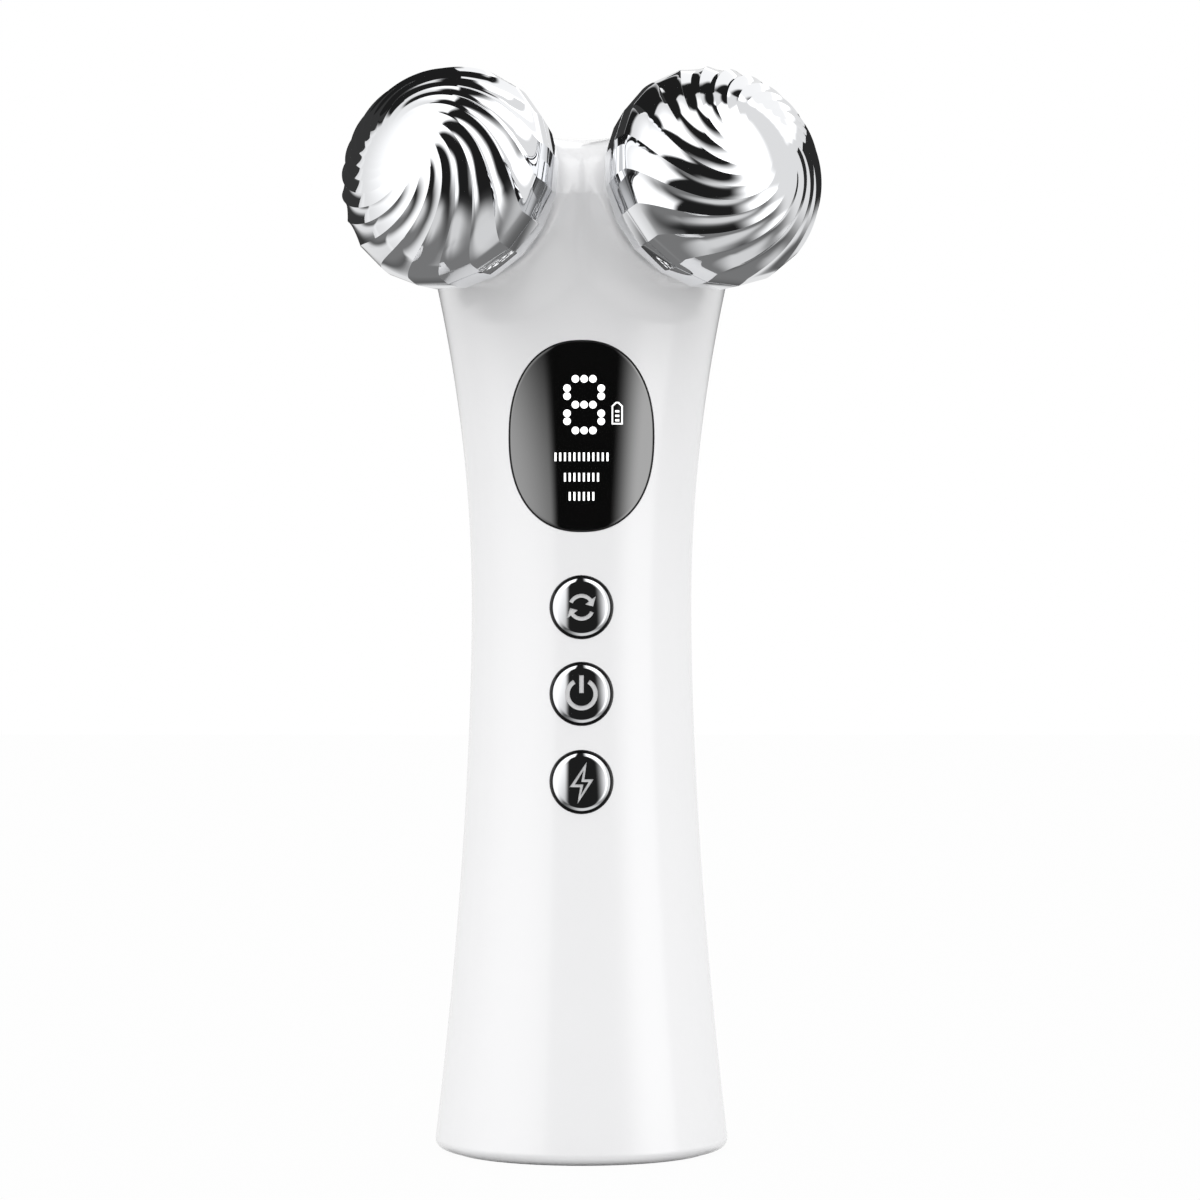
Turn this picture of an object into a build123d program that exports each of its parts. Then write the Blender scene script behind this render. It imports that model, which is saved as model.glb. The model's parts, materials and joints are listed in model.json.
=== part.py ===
"""Facial toning device: an upright handle whose forked head carries two ridged metal rollers.

Origin at the centre of the resting face, +Z up, +X to the right and -Y to the front, where the
display and the buttons are.  Millimetres.
"""

import math
import os

from build123d import *

os.makedirs("parts", exist_ok=True)

# ---------------------------------------------------------------- body form
BASE_HALF_WIDTH = 23.1
WAIST_HALF_WIDTH = 17.2
HEAD_HALF_WIDTH = 25.4
BASE_FRONT = 18.8  # how far the front stands out from the middle plane
WAIST_FRONT = 14.6
HEAD_FRONT = 22.4
BASE_BACK = 18.8
WAIST_BACK = 14.6
HEAD_BACK = 11.8
WAIST_HEIGHT = 85.0
HEAD_HEIGHT = 147.0  # above it the sides rise straight into the dome
LOWER_FLARE = 1.76  # powers of the curves from the waist to the base and to the head
UPPER_FLARE = 2.0
NECK_FLARE = 3.0
SHELL_BOTTOM = 0.4  # the shells' rim stays off the table
LOFT_TOP = 165.0
LOFT_SECTIONS = 12
DOME_TOP = 157.0
DOME_RADIUS = 40.0
DOME_CENTRE_Y = -5.0
DOME_EDGE = 5.0
BASE_ROUND = 1.7
WALL = 2.2
SEAM_WIDTH = 0.24
SEAM_DEPTH = 0.35
SEAT_GAP = 0.12  # between a piece and the shells that hold it
FIT_GAP = 0.05
CLIP_DEPTH = 0.7  # posts and ribs end this far under the outer face
RIM_LENGTH = 60.0  # edges longer than this, this far below the head or higher, are the dome's rim
RIM_BELOW_HEAD = 20.0

# ---------------------------------------------------------------- screws, as shares of their own sizes
SCREW_POINT = 0.4  # chamfer over the shank's radius
SCREW_HEAD_ROUND = 0.35  # fillet over the head's height
DRIVE_LENGTH = 1.1  # length, width and depth of the cross recess
DRIVE_WIDTH = 0.27
DRIVE_DEPTH = 0.5

# ---------------------------------------------------------------- rollers and axles
ROLLER_X = 19.6
ROLLER_Y = -25.0
ROLLER_Z = 148.9
AXLE_OUT_ANGLE = 31.4  # degrees from straight ahead
AXLE_UP_ANGLE = 16.25
ROLLER_RADIUS = 16.9  # to the crests of the ridges
ROLLER_SQUASH = 0.86  # half length along the axle over the radius
RIDGES = 19
RIDGE_TWIST = 160.0  # degrees that a ridge winds between the facets and the pole
SCOOP_DEPTH = 0.38
SCOOP_START = 0.12  # where the scoops meet the facets
SCOOP_FADE = 14.0  # degrees over which they deepen
POLE_ANGLE = 8.0  # polar angles, from the outer end of the axle
RIDGE_END_ANGLE = 82.0
SEAM_ANGLE = 92.0
REAR_FACET_ANGLE = 111.0
REAR_FACE_ANGLE = 131.0
RIDGE_SECTIONS = 28
CAVITY_ANGLES = (12.0, 30.0, 50.0, 70.0, 95.0)
ROLLER_WALL = 1.6
REAR_SHELL_WALL = 1.2
REAR_SHELL_FLOOR = 1.5
ROLLER_SEAM = 0.12
REST_ANGLE = {"left": 13.1, "right": 10.9}  # how far each roller is turned at rest
SIDES = {"left": -1, "right": 1}

COLLAR_GAP = 0.8  # between the roller's rear face and the head
COLLAR_RADIUS = 12.6
COLLAR_LENGTH = 14.0
COLLAR_EDGE = 0.6

AXLE_RADIUS = 2.5
AXLE_FRONT = 5.6
AXLE_STUD_RADIUS = 2.0
AXLE_FLANGE_RADIUS = 4.3
AXLE_FLANGE = 1.0
AXLE_CHAMFER = 0.4
CLIP_THICKNESS = 0.6
CLIP_GROOVE_DEPTH = 0.4
CLIP_RADIUS = 3.9
CLIP_MOUTH = 3.2
NUT_ACROSS_FLATS = 7.0
NUT_THICKNESS = 2.2
TERMINAL_THICKNESS = 0.5
TERMINAL_RADIUS = 3.6
TERMINAL_TAIL = 6.5
TERMINAL_TAIL_WIDTH = 2.6
STUD_END = 1.0  # beyond the nut
SEAL_RADIUS = 4.0
SEAL_RECESS = 0.3
WASHER_RADIUS = 5.4
WASHER_THICKNESS = 0.5
RUNNING_GAP = 0.05
BODY_GAP = 0.3  # between pieces that move past each other

HUB_RADIUS = 5.2
HUB_FRONT = 4.2
HUB_FLANGE_RADIUS = 14.4
HUB_FLANGE = 1.6
BUSH_RADIUS = 3.6
BUSH_LENGTH = 5.0
ROLLER_SCREWS = 3
ROLLER_SCREW_CIRCLE = 9.5
ROLLER_POST_RADIUS = 2.3
ROLLER_SCREW_RADIUS = 0.8
ROLLER_SCREW_HEAD = 1.6
ROLLER_SCREW_HEAD_HEIGHT = 1.1
ROLLER_SCREW_REACH = 5.0
POST_ROOT = 0.3  # how far the posts run into the roller's wall

# ---------------------------------------------------------------- axle carrier in the head
CARRIER_SLEEVE = 5.2
CARRIER_LENGTH = 8.4
CARRIER_PLATE_HALF_WIDTH = 8.6
CARRIER_PLATE_BOTTOM = 134.5
CARRIER_PLATE_TOP = 152.5
CARRIER_PLATE_FRONT = -11.6
CARRIER_PLATE = 2.0
CARRIER_SCREW_HEIGHTS = (137.5, 150.0)
CARRIER_POST_RADIUS = 2.3
CARRIER_SCREW_RADIUS = 0.85
CARRIER_SCREW_HEAD = 1.8
CARRIER_SCREW_HEAD_HEIGHT = 1.2
CARRIER_SCREW_REACH = 4.5

# ---------------------------------------------------------------- display
DISPLAY_HEIGHT = 110.9
LENS_HALF_WIDTH = 11.1
LENS_HALF_HEIGHT = 14.5
LENS_SQUARENESS = 2.3  # exponent of the lens outline
LENS_PROUD = 0.15
LENS_THICKNESS = 1.35
LENS_TAPE = 0.25
LENS_LEDGE = 1.8
LENS_GAP = 0.08
OUTLINE_POINTS = 24
DIGIT_X = 0.4
DIGIT_ABOVE = 4.8  # digit centre above the display's middle
DIGIT_HALF_WIDTH = 2.6
DIGIT_HALF_HEIGHT = 3.9
DIGIT_DOT_PITCH = 1.33
DIGIT_SIDE_DOTS = (1.3, 2.5)
BATTERY_MARK_X = 5.4
BATTERY_MARK_ABOVE = 3.6
LEVEL_BARS_BELOW = (3.1, 6.3, 9.1)
MASK_HALF_WIDTH = 7.2
MASK_HALF_HEIGHT = 12.4
MASK_FRONT = -10.9
MASK_CORE_HALF_WIDTH = 6.8
MASK_CORE_HALF_HEIGHT = 11.0
MASK_CORE_FRONT = -12.2
LIGHT_TUNNEL = 0.55
LED_SIZE = 0.9
LED_HEIGHT = 0.6
DISPLAY_BOARD_FRONT = -8.0
DISPLAY_BOARD_HALF_WIDTH = 10.6
DISPLAY_BOARD_HALF_HEIGHT = 13.4
DISPLAY_POST_X = 8.9
DISPLAY_POST_Z = 11.2
BOARD = 1.0
BOARD_CORNER = 1.0

# ---------------------------------------------------------------- buttons
BUTTON_HEIGHTS = {"mode": 84.9, "power": 71.7, "level": 58.3}
BUTTON_RADIUS = 4.4
BUTTON_PROUD = 0.35
BUTTON_CHAMFER = 0.45
BUTTON_FLANGE_RADIUS = 5.4
BUTTON_FLANGE = 0.8
BEZEL_WALL = 0.34
BEZEL_GAP = 0.1
BEZEL_PROUD = 0.1
BUTTON_PAD_RADIUS = 6.6
BUTTON_PAD_DEPTH = 3.3
PLUNGER_RADIUS = 1.3
PLUNGER_GAP = 0.45  # to the switch; the travel is shorter
SWITCH_SIZE = 4.5
SWITCH_HEIGHT = 1.6
SWITCH_BUTTON_RADIUS = 1.1
SWITCH_BUTTON_HEIGHT = 0.9

# ---------------------------------------------------------------- main board and its posts
MAIN_BOARD_FRONT = -5.2
MAIN_BOARD_HALF_WIDTH = 9.5
MAIN_BOARD_BOTTOM = 48.0
MAIN_BOARD_TOP = 92.0
MAIN_POST_X = 7.6
MAIN_POST_INSET = 3.5
POST_RADIUS = 1.6
BOARD_SCREW_RADIUS = 0.7
BOARD_SCREW_HEAD = 1.3
BOARD_SCREW_HEAD_HEIGHT = 0.8
BOARD_SCREW_REACH = 1.6
POST_HOLE_GAP = 0.03
CHIP_HEIGHT = 0.7
MAIN_CHIP = 6.4
MAIN_CHIP_ABOVE = 1.0  # above the middle of the board's free end
SMALL_CHIP = (4.0, 3.0)
SMALL_CHIP_X = 2.4
SMALL_CHIP_BELOW = 6.0
DISPLAY_CHIP = (6.0, 8.0)
DISPLAY_CHIP_ABOVE = 2.0
FLEX_WIDTH = 8.0
FLEX = 0.2
FLEX_OVERLAP = 3.0
FLEX_BEND = 0.8

# ---------------------------------------------------------------- battery, motor and wires
BATTERY_RADIUS = 7.0
BATTERY_LENGTH = 50.0
BATTERY_Y = 4.0
BATTERY_BOTTOM = 17.0
BATTERY_ROUND = 0.6
BATTERY_NUB_RADIUS = 2.0
BATTERY_NUB = 0.5
HOLDER_WALL = 1.2
HOLDER_PLATE = 2.0
HOLDER_FRONT = -3.4
HOLDER_HOLE = 2.8
HOLDER_MOUTH = 2.0  # the cradle is open in front of this distance behind the cell's middle
HOLDER_PAD_WIDTH = 6.0
HOLDER_PAD_HEIGHT = 4.0

MOTOR_Y = 3.2
MOTOR_BOTTOM = 99.0
MOTOR_LENGTH = 18.0
MOTOR_RADIUS = 6.0
MOTOR_ROUND = 0.5
SLEEVE_WALL = 1.0
SLEEVE_INSET = 1.0
SHAFT_RADIUS = 1.0
SHAFT_DEPTH = 4.7
SHAFT_OUT = 7.4
WEIGHT_RADIUS = 5.4
WEIGHT_HEIGHT = 5.0
WEIGHT_OFFSET = 1.4
WEIGHT_HUB_RADIUS = 2.2
STRAP_WALL = 1.2
STRAP_HEIGHT = 9.0
STRAP_EAR_X = 10.6
STRAP_EAR_FRONT = 4.2
STRAP_EAR = 1.6
STRAP_EAR_END = 12.6
STRAP_POST_RADIUS = 2.0
STRAP_SCREW_RADIUS = 0.85
STRAP_SCREW_HEAD = 1.6
STRAP_SCREW_HEAD_HEIGHT = 1.0
STRAP_SCREW_REACH = 2.4
SADDLE_HALF_WIDTH = 3.0
SADDLE_HALF_HEIGHT = 4.0

WIRE_RADIUS = 0.5
BEND_SHARE = 0.45  # of the shorter run, at each corner of a wire
CELL_LEAD_RISE = 5.5
CELL_LEAD_X = 6.2
CELL_LEAD_Y = -0.2
CELL_LEAD_END = 10.0
CELL_LEAD_OVERLAP = 5.0
CHARGE_LEAD_X = (6.0, 6.6, 5.0)
CHARGE_LEAD_Y = (-6.0, -6.6)
CHARGE_LEAD_Z = (5.0, 8.6, 13.0, 30.5)
CHARGE_LEAD_END = (1.0, 4.0)  # below and above the board's lower edge
MOTOR_LEAD_X = (2.5, 5.1)
MOTOR_LEAD_DROP = (4.5, 8.5, 13.0)
ELECTRODE_LEAD_START = 1.0
ELECTRODE_LEAD_RUN = 3.5
ELECTRODE_LEAD_XZ = ((12.0, 122.0), (12.6, 109.0), (12.2, 96.0), (8.5, 85.0), (8.5, 79.5))
ELECTRODE_LEAD_Y = (-3.0, -1.0, -1.0)

# ---------------------------------------------------------------- base and charging port
CAP_THICKNESS = 2.4
CAP_EDGE = 0.5
SKIRT_TOP = 6.0
SKIRT_WALL = 1.4
GASKET_BOTTOM = 3.5
GASKET_HEIGHT = 1.0
GASKET_DEPTH = 0.7
BASE_SCREW_X = 13.0
BASE_SCREW_Y = 6.5
BASE_POST_RADIUS = 2.5
BASE_POST_TOP = 12.0
BASE_RIB = 1.6
BASE_SCREW_RADIUS = 0.95
BASE_SCREW_HEAD = 1.9
BASE_SCREW_HEAD_HEIGHT = 1.3
BASE_SCREW_SINK = 0.3
BASE_SCREW_REACH = 6.0
SLOT_GAP = 0.12
PORT_WIDTH = 8.94
PORT_HEIGHT = 3.2
PORT_LENGTH = 7.3
PORT_WALL = 0.3
PORT_SINK = 0.6
TONGUE_WIDTH = 6.7
TONGUE = 0.7
TONGUE_SINK = 0.8
CHARGE_BOARD_HALF_WIDTH = 9.0
CHARGE_BOARD_BOTTOM = 3.0
CHARGE_BOARD_TOP = 13.5
RAIL_OVERLAP = 0.8
RAIL_WALL = 1.5
RAIL_TOP = 12.0


# ---------------------------------------------------------------- form helpers
def flare(height, base, waist, head, lower, upper):
    """One half-size of the body at a height: narrowest at the waist."""
    if height <= WAIST_HEIGHT:
        below = (WAIST_HEIGHT - height) / WAIST_HEIGHT
        return waist + (base - waist) * below**lower
    above = (min(height, HEAD_HEIGHT) - WAIST_HEIGHT) / (HEAD_HEIGHT - WAIST_HEIGHT)
    return waist + (head - waist) * above**upper


def half_width(height):
    return flare(height, BASE_HALF_WIDTH, WAIST_HALF_WIDTH, HEAD_HALF_WIDTH, LOWER_FLARE, UPPER_FLARE)


def front_depth(height):
    return flare(height, BASE_FRONT, WAIST_FRONT, HEAD_FRONT, LOWER_FLARE, NECK_FLARE)


def back_depth(height):
    return flare(height, BASE_BACK, WAIST_BACK, HEAD_BACK, LOWER_FLARE, UPPER_FLARE)


def dome_form(inset):
    """A bullet whose round end gives the head its domed top."""
    centre = DOME_TOP - DOME_RADIUS
    with BuildPart() as dome:
        with Locations((0, DOME_CENTRE_Y, centre)):
            Sphere(DOME_RADIUS - inset)
        with BuildSketch(Plane.XY.offset(centre)):
            with Locations((0, DOME_CENTRE_Y)):
                Circle(DOME_RADIUS - inset)
        extrude(amount=-2 * centre)
    return dome.part


def body_form(inset, bottom=SHELL_BOTTOM):
    """The body as one solid, with every face moved in by inset."""
    with BuildPart() as form:
        for step in range(LOFT_SECTIONS):
            height = bottom + (LOFT_TOP - bottom) * step / (LOFT_SECTIONS - 1)
            front, back = front_depth(height), back_depth(height)
            with BuildSketch(Plane.XY.offset(height)):
                with Locations((0, (back - front) / 2)):
                    Ellipse(half_width(height) - inset, (front + back) / 2 - inset)
        loft()
        add(dome_form(inset), mode=Mode.INTERSECT)
        long_edges = form.edges().filter_by(lambda edge: edge.length > RIM_LENGTH)
        rim = long_edges.filter_by(lambda edge: edge.center().Z > HEAD_HEIGHT - RIM_BELOW_HEAD)
        fillet(rim, DOME_EDGE - inset)
    return form.part


def axle_plane(side, distance=0.0):
    """The plane across an axle, with its normal pointing outwards and its origin at the roller."""
    out, up = math.radians(AXLE_OUT_ANGLE) * side, math.radians(AXLE_UP_ANGLE)
    normal = Vector(math.sin(out) * math.cos(up), -math.cos(out) * math.cos(up), math.sin(up))
    centre = Vector(ROLLER_X * side, ROLLER_Y, ROLLER_Z)
    return Plane(origin=centre + normal * distance, x_dir=(math.cos(out), math.sin(out), 0), z_dir=normal)


def superellipse(half_across, half_up):
    """The rounded outline of the display, at its height."""
    points = []
    for step in range(OUTLINE_POINTS):
        turn = 2 * math.pi * step / OUTLINE_POINTS
        across = math.copysign(abs(math.cos(turn)) ** (2 / LENS_SQUARENESS), math.cos(turn))
        upward = math.copysign(abs(math.sin(turn)) ** (2 / LENS_SQUARENESS), math.sin(turn))
        points.append((half_across * across, DISPLAY_HEIGHT + half_up * upward))
    with BuildSketch() as outline:
        with BuildLine():
            Spline(*points, periodic=True)
        make_face()
    return outline.sketch


def display_prism(smaller):
    """The display's outline as a prism through the front wall."""
    with BuildPart() as prism:
        with BuildSketch(Plane.XZ):
            add(superellipse(LENS_HALF_WIDTH - smaller, LENS_HALF_HEIGHT - smaller))
        extrude(amount=BASE_FRONT + HEAD_FRONT)
    return prism.part


def write(part, name):
    part.label = name
    export_step(part, f"parts/{name}.step")


# ---------------------------------------------------------------- forms that several pieces share
SEAT = WALL + SEAT_GAP
LENS_BACK = LENS_THICKNESS - LENS_PROUD
TAPE_BACK = LENS_BACK + LENS_TAPE

outer_form = body_form(0)
seam_form = body_form(SEAM_DEPTH)
clip_form = body_form(CLIP_DEPTH)
lens_face_form = body_form(-LENS_PROUD)
lens_back_form = body_form(LENS_BACK)
tape_back_form = body_form(TAPE_BACK)
cavity_form = body_form(WALL, bottom=-1)
seat_form = body_form(SEAT, bottom=0)

lens_prism = display_prism(0)
pocket_prism = display_prism(-LENS_GAP)
window_prism = display_prism(LENS_LEDGE)

REACH = BASE_HALF_WIDTH + HEAD_HALF_WIDTH
COLLAR_FACE = ROLLER_RADIUS * ROLLER_SQUASH * math.cos(math.radians(REAR_FACE_ANGLE)) - COLLAR_GAP
COLLAR_BACK = COLLAR_FACE - WALL
FLANGE_BACK = COLLAR_BACK - FIT_GAP - AXLE_FLANGE
CARRIER_BACK = FLANGE_BACK - CARRIER_LENGTH
TERMINAL_BACK = CARRIER_BACK - TERMINAL_THICKNESS
AXLE_BACK = TERMINAL_BACK - NUT_THICKNESS - STUD_END

with BuildPart() as collars:
    for side in SIDES.values():
        with BuildSketch(axle_plane(side, COLLAR_FACE)):
            Circle(COLLAR_RADIUS)
        extrude(amount=-COLLAR_LENGTH)
    faces = [axle_plane(side, COLLAR_FACE) for side in SIDES.values()]
    rims = [
        edge
        for edge in collars.edges().filter_by(GeomType.CIRCLE)
        if any(abs(plane.to_local_coords(edge.center()).Z) < FIT_GAP for plane in faces)
    ]
    fillet(rims, COLLAR_EDGE)

with BuildPart() as collar_bores:
    for side in SIDES.values():
        with BuildSketch(axle_plane(side, COLLAR_BACK)):
            Circle(COLLAR_RADIUS - WALL)
        extrude(amount=-COLLAR_LENGTH + WALL)
        with BuildSketch(axle_plane(side, COLLAR_FACE + WALL)):
            Circle(SEAL_RADIUS)
        extrude(amount=-3 * WALL)

with BuildPart() as casing:
    add(outer_form)
    bottom_rim = casing.edges().group_by(Axis.Z)[0]
    fillet(bottom_rim, BASE_ROUND)
    for side in SIDES.values():
        with BuildSketch(axle_plane(side, COLLAR_FACE)):
            Rectangle(4 * COLLAR_RADIUS, 4 * COLLAR_RADIUS)
        extrude(amount=2 * ROLLER_RADIUS, mode=Mode.SUBTRACT)
    add(collars.part)
    add(cavity_form, mode=Mode.SUBTRACT)
    add(collar_bores.part, mode=Mode.SUBTRACT)

with BuildPart() as seam_groove:
    with Locations((0, 0, DOME_TOP / 2)):
        Box(2 * REACH, SEAM_WIDTH, 2 * DOME_TOP)
    add(seam_form, mode=Mode.SUBTRACT)


# ---------------------------------------------------------------- front shell
def button_front(name):
    return -front_depth(BUTTON_HEIGHTS[name])


def button_pad_back(name):
    return button_front(name) + BUTTON_PAD_DEPTH


def front_plane(y):
    """A plane that looks along -Y, whose own Y is the height."""
    return Plane.XZ.offset(-y)


main_posts = [
    (side * MAIN_POST_X, height)
    for side in SIDES.values()
    for height in (MAIN_BOARD_BOTTOM + MAIN_POST_INSET, MAIN_BOARD_TOP - MAIN_POST_INSET)
]
display_posts = [
    (side * DISPLAY_POST_X, DISPLAY_HEIGHT + up * DISPLAY_POST_Z) for side in SIDES.values() for up in (-1, 1)
]
carrier_posts = [(0, height) for height in CARRIER_SCREW_HEIGHTS]
board_back = MAIN_BOARD_FRONT + BOARD
display_board_back = DISPLAY_BOARD_FRONT + BOARD
base_posts = [(across * BASE_SCREW_X, along * BASE_SCREW_Y) for across in (-1, 1) for along in (-1, 1)]


def base_post_features(along):
    """The screw posts over the base cap on one side of the seam, with the ribs that carry them."""
    with BuildPart() as posts:
        for x, y in base_posts:
            if y * along < 0:
                continue
            with BuildSketch(Plane.XY.offset(CAP_THICKNESS + FIT_GAP)):
                with Locations((x, y)):
                    Circle(BASE_POST_RADIUS)
            extrude(amount=BASE_POST_TOP - CAP_THICKNESS)
            outward = math.copysign(1, x)
            with BuildSketch(Plane.XY.offset(SKIRT_TOP + SEAT_GAP)):
                with Locations((x + outward * BASE_POST_RADIUS * 2, y)):
                    Rectangle(BASE_POST_RADIUS * 4, BASE_RIB)
            extrude(amount=BASE_POST_TOP - SKIRT_TOP)
            with BuildSketch(Plane.XY.offset(CAP_THICKNESS)):
                with Locations((x, y)):
                    Circle(BASE_SCREW_RADIUS + POST_HOLE_GAP)
            extrude(amount=BASE_SCREW_REACH + BODY_GAP, mode=Mode.SUBTRACT)
        add(clip_form, mode=Mode.INTERSECT)
    return posts.part


with BuildPart() as front_posts:
    for places, radius, back in (
        (main_posts, POST_RADIUS, MAIN_BOARD_FRONT),
        (display_posts, POST_RADIUS, DISPLAY_BOARD_FRONT),
        (carrier_posts, CARRIER_POST_RADIUS, CARRIER_PLATE_FRONT),
    ):
        with BuildSketch(front_plane(back)):
            with Locations(*places):
                Circle(radius)
        extrude(amount=REACH)
    for name, height in BUTTON_HEIGHTS.items():
        with BuildSketch(front_plane(button_pad_back(name))):
            with Locations((0, height)):
                Circle(BUTTON_PAD_RADIUS)
        extrude(amount=BUTTON_PAD_DEPTH)
    add(clip_form, mode=Mode.INTERSECT)

with BuildPart() as front_shell:
    add(casing.part)
    with Locations((0, REACH, DOME_TOP / 2)):
        Box(2 * REACH, 2 * REACH, 2 * DOME_TOP, mode=Mode.SUBTRACT)
    add(seam_groove.part, mode=Mode.SUBTRACT)
    add(front_posts.part)
    add(base_post_features(-1))
    for places, screw, back, reach in (
        (main_posts, BOARD_SCREW_RADIUS, MAIN_BOARD_FRONT, BOARD_SCREW_REACH),
        (display_posts, BOARD_SCREW_RADIUS, DISPLAY_BOARD_FRONT, BOARD_SCREW_REACH),
        (carrier_posts, CARRIER_SCREW_RADIUS, CARRIER_PLATE_FRONT, CARRIER_SCREW_REACH),
    ):
        with BuildSketch(front_plane(back)):
            with Locations(*places):
                Circle(screw + POST_HOLE_GAP)
        extrude(amount=reach + BODY_GAP, mode=Mode.SUBTRACT)
    with BuildSketch(Plane.XZ):
        with Locations(*[(0, height) for height in BUTTON_HEIGHTS.values()]):
            Circle(BUTTON_RADIUS + BEZEL_GAP + BEZEL_WALL + FIT_GAP)
    extrude(amount=REACH, mode=Mode.SUBTRACT)
    add(pocket_prism - tape_back_form, mode=Mode.SUBTRACT)
    add(window_prism, mode=Mode.SUBTRACT)
write(front_shell.part, "front_shell")

# ---------------------------------------------------------------- rear shell
ear_back = STRAP_EAR_FRONT + STRAP_EAR
strap_height = MOTOR_BOTTOM + MOTOR_LENGTH / 2
sleeve_radius = MOTOR_RADIUS + FIT_GAP / 2 + SLEEVE_WALL
strap_posts = [(side * STRAP_EAR_X, strap_height) for side in SIDES.values()]

with BuildPart() as rear_posts:
    with BuildSketch(front_plane(ear_back)):
        with Locations(*strap_posts):
            Circle(STRAP_POST_RADIUS)
    extrude(amount=-REACH)
    with BuildSketch(front_plane(MOTOR_Y + sleeve_radius + FIT_GAP)):
        with Locations((0, strap_height)):
            Rectangle(2 * SADDLE_HALF_WIDTH, 2 * SADDLE_HALF_HEIGHT)
    extrude(amount=-REACH)
    with BuildSketch(front_plane(BATTERY_Y + BATTERY_RADIUS + HOLDER_WALL + SEAT_GAP + FIT_GAP)):
        for height in (BATTERY_BOTTOM + BATTERY_LENGTH / 4, BATTERY_BOTTOM + 3 * BATTERY_LENGTH / 4):
            with Locations((0, height)):
                Rectangle(HOLDER_PAD_WIDTH, HOLDER_PAD_HEIGHT)
    extrude(amount=-REACH)
    add(clip_form, mode=Mode.INTERSECT)

with BuildPart() as rear_shell:
    add(casing.part)
    with Locations((0, -REACH, DOME_TOP / 2)):
        Box(2 * REACH, 2 * REACH, 2 * DOME_TOP, mode=Mode.SUBTRACT)
    add(seam_groove.part, mode=Mode.SUBTRACT)
    add(rear_posts.part)
    add(base_post_features(1))
    with BuildSketch(front_plane(ear_back)):
        with Locations(*strap_posts):
            Circle(STRAP_SCREW_RADIUS + POST_HOLE_GAP)
    extrude(amount=-STRAP_SCREW_REACH - BODY_GAP, mode=Mode.SUBTRACT)
write(rear_shell.part, "rear_shell")

# ---------------------------------------------------------------- base cap, its gasket and screws
rail_inner = CHARGE_BOARD_HALF_WIDTH - RAIL_OVERLAP
rail_outer = CHARGE_BOARD_HALF_WIDTH + RAIL_WALL
charge_board_front = PORT_HEIGHT / 2
skirt_core = body_form(SEAT + SKIRT_WALL, bottom=0)
gasket_core = body_form(SEAT + GASKET_DEPTH, bottom=0)
gasket_face = body_form(WALL + FIT_GAP, bottom=0)

with BuildPart() as cap_hollow:
    add(skirt_core)
    with Locations((0, 0, CAP_THICKNESS - DOME_TOP)):
        Box(4 * REACH, 4 * REACH, 2 * DOME_TOP, mode=Mode.SUBTRACT)

with BuildPart() as gasket_groove:
    with Locations((0, 0, GASKET_BOTTOM + GASKET_HEIGHT / 2)):
        Box(4 * REACH, 4 * REACH, GASKET_HEIGHT + 2 * FIT_GAP)
    add(gasket_core, mode=Mode.SUBTRACT)

with BuildPart() as base_cap:
    add(seat_form)
    with Locations((0, 0, SKIRT_TOP + DOME_TOP)):
        Box(4 * REACH, 4 * REACH, 2 * DOME_TOP, mode=Mode.SUBTRACT)
    add(cap_hollow.part, mode=Mode.SUBTRACT)
    fillet(base_cap.edges().group_by(Axis.Z)[0], CAP_EDGE)
    add(gasket_groove.part, mode=Mode.SUBTRACT)
    for side in SIDES.values():
        with BuildSketch(Plane.XY.offset(CAP_THICKNESS)):
            with Locations((side * (rail_inner + rail_outer) / 2, charge_board_front + BOARD / 2)):
                Rectangle(rail_outer - rail_inner, BOARD + 2 * RAIL_WALL)
        extrude(amount=RAIL_TOP - CAP_THICKNESS)
    with BuildSketch(Plane.XY.offset(CAP_THICKNESS)):
        with Locations((0, charge_board_front + BOARD / 2)):
            Rectangle(2 * CHARGE_BOARD_HALF_WIDTH + 2 * FIT_GAP, BOARD + 2 * FIT_GAP)
    extrude(amount=RAIL_TOP, mode=Mode.SUBTRACT)
    with BuildSketch(Plane.XY):
        SlotOverall(PORT_WIDTH + 2 * SLOT_GAP, PORT_HEIGHT + 2 * SLOT_GAP)
    extrude(amount=CAP_THICKNESS, mode=Mode.SUBTRACT)
    with Locations(Plane.XY * Location((0, 0, 0), (180, 0, 0))):
        with Locations(*base_posts):
            CounterBoreHole(
                BASE_SCREW_RADIUS + SLOT_GAP,
                BASE_SCREW_HEAD + SLOT_GAP,
                BASE_SCREW_SINK + BASE_SCREW_HEAD_HEIGHT,
                CAP_THICKNESS,
            )
write(base_cap.part, "base_cap")

with BuildPart() as base_gasket:
    with Locations((0, 0, GASKET_BOTTOM + GASKET_HEIGHT / 2)):
        Box(4 * REACH, 4 * REACH, GASKET_HEIGHT)
    add(gasket_face, mode=Mode.INTERSECT)
    add(gasket_core, mode=Mode.SUBTRACT)
write(base_gasket.part, "base_gasket")


def screw(radius, reach, head_radius, head_height):
    """A pan head screw along Z: the head's seat at zero, the point upwards."""
    drive_length, drive_width = head_radius * DRIVE_LENGTH, head_radius * DRIVE_WIDTH
    with BuildPart() as body:
        with BuildSketch(Plane.XY):
            Circle(radius)
        extrude(amount=reach)
        chamfer(body.edges().group_by(Axis.Z)[-1], radius * SCREW_POINT)
        with BuildSketch(Plane.XY):
            Circle(head_radius)
        extrude(amount=-head_height)
        fillet(body.edges().group_by(Axis.Z)[0], head_height * SCREW_HEAD_ROUND)
        with BuildSketch(Plane.XY.offset(-head_height)):
            Rectangle(drive_length, drive_width)
            Rectangle(drive_width, drive_length)
        extrude(amount=head_height * DRIVE_DEPTH, mode=Mode.SUBTRACT)
    return body.part


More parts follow.
